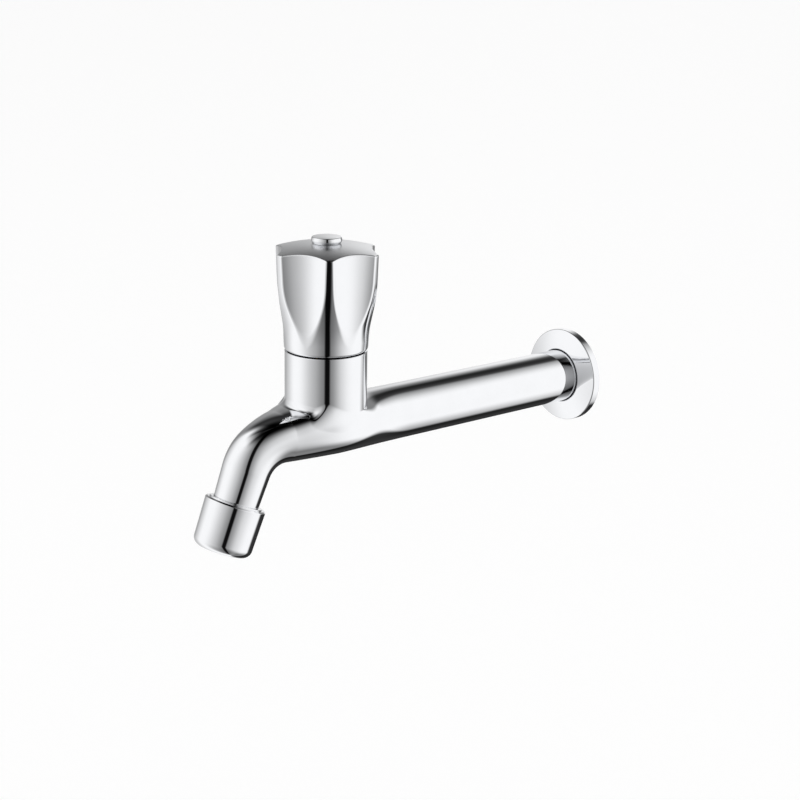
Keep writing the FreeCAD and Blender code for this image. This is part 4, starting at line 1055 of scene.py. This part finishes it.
def make_world():
    """White for camera and diffuse rays. Mirror rays see the level with the dim areas instead."""
    world = bpy.data.worlds.new("studio")
    world.use_nodes = True
    bpy.context.scene.world = world
    tree = world.node_tree
    link = tree.links.new

    def math_node(operation, *values):
        node = tree.nodes.new("ShaderNodeMath")
        node.operation = operation
        for socket, value in zip(node.inputs, values):
            if isinstance(value, (int, float)):
                socket.default_value = value
            else:
                link(value, socket)
        return node.outputs[0]

    def within(angle, middle, half, soft):
        """1 near the middle, 0 beyond the half width, soft in between."""
        turned = math_node("WRAP", math_node("SUBTRACT", angle, middle), 180.0, -180.0)
        fade = tree.nodes.new("ShaderNodeMapRange")
        fade.interpolation_type = "SMOOTHSTEP"
        limits = {"From Min": half - soft, "From Max": half + soft, "To Min": 1.0, "To Max": 0.0}
        for name, value in limits.items():
            fade.inputs[name].default_value = value
        link(math_node("ABSOLUTE", turned), fade.inputs["Value"])
        return fade.outputs["Result"]

    place = tree.nodes.new("ShaderNodeTexCoord")
    split = tree.nodes.new("ShaderNodeSeparateXYZ")
    link(place.outputs["Generated"], split.inputs[0])
    x, y, z = split.outputs
    turn = math_node("DEGREES", math_node("ARCTAN2", x, math_node("MULTIPLY", y, -1.0)))
    rise = math_node("DEGREES", math_node("ARCSINE", z))
    level = STUDIO_LEVEL
    for name, middle, half, soft, dim in STUDIO_AREAS:
        area = dim
        for angle, where, reach, edge in zip((turn, rise), middle, half, soft):
            if reach < 180:
                area = math_node("MULTIPLY", within(angle, where, reach, edge), area)
        left = math_node("SUBTRACT", 1.0, area)
        left.node.label = name
        level = math_node("MULTIPLY", left, level)
    seen = tree.nodes.new("ShaderNodeLightPath")
    shown = tree.nodes.new("ShaderNodeMix")
    plain = math_node("MAXIMUM", seen.outputs["Is Camera Ray"], seen.outputs["Is Diffuse Ray"])
    link(plain, shown.inputs["Factor"])
    link(level, shown.inputs["A"])
    shown.inputs["B"].default_value = 1.0
    background = tree.nodes["Background"]
    background.inputs["Color"].default_value = (1, 1, 1, 1)
    link(shown.outputs["Result"], background.inputs["Strength"])


def make_floor():
    """A pale floor below the tap, hidden from mirror rays."""
    mesh = bpy.data.meshes.new("floor")
    corners = [(x * FLOOR_HALF, y * FLOOR_HALF, 0) for x, y in ((-1, -1), (1, -1), (1, 1), (-1, 1))]
    mesh.from_pydata(corners, [], [(0, 1, 2, 3)])
    floor = bpy.data.objects.new("floor", mesh)
    floor.location.z = FLOOR_HEIGHT
    floor.visible_glossy = False
    bpy.context.scene.collection.objects.link(floor)
    material, shader, add, link = new_material("pale_floor")
    shader.inputs["Base Color"].default_value = FLOOR_COLOUR
    shader.inputs["Roughness"].default_value = 0.8
    path = add("LightPath")
    shader.inputs["Emission Color"].default_value = (1, 1, 1, 1)
    glow = add("Math", operation="MULTIPLY")
    glow.inputs[1].default_value = FLOOR_GLOW
    link(path.outputs["Is Camera Ray"], glow.inputs[0])
    link(glow.outputs[0], shader.inputs["Emission Strength"])
    mesh.materials.append(material)


bpy.context.scene.view_settings.view_transform = "Standard"
finishes = make_materials()
dress_cad_nodes(finishes)
tap_body(finishes)
handle_knob(finishes)
handle_cap(finishes)
aerator_sleeve(finishes)
wall_flange(finishes)
make_floor()
make_world()
make_camera()
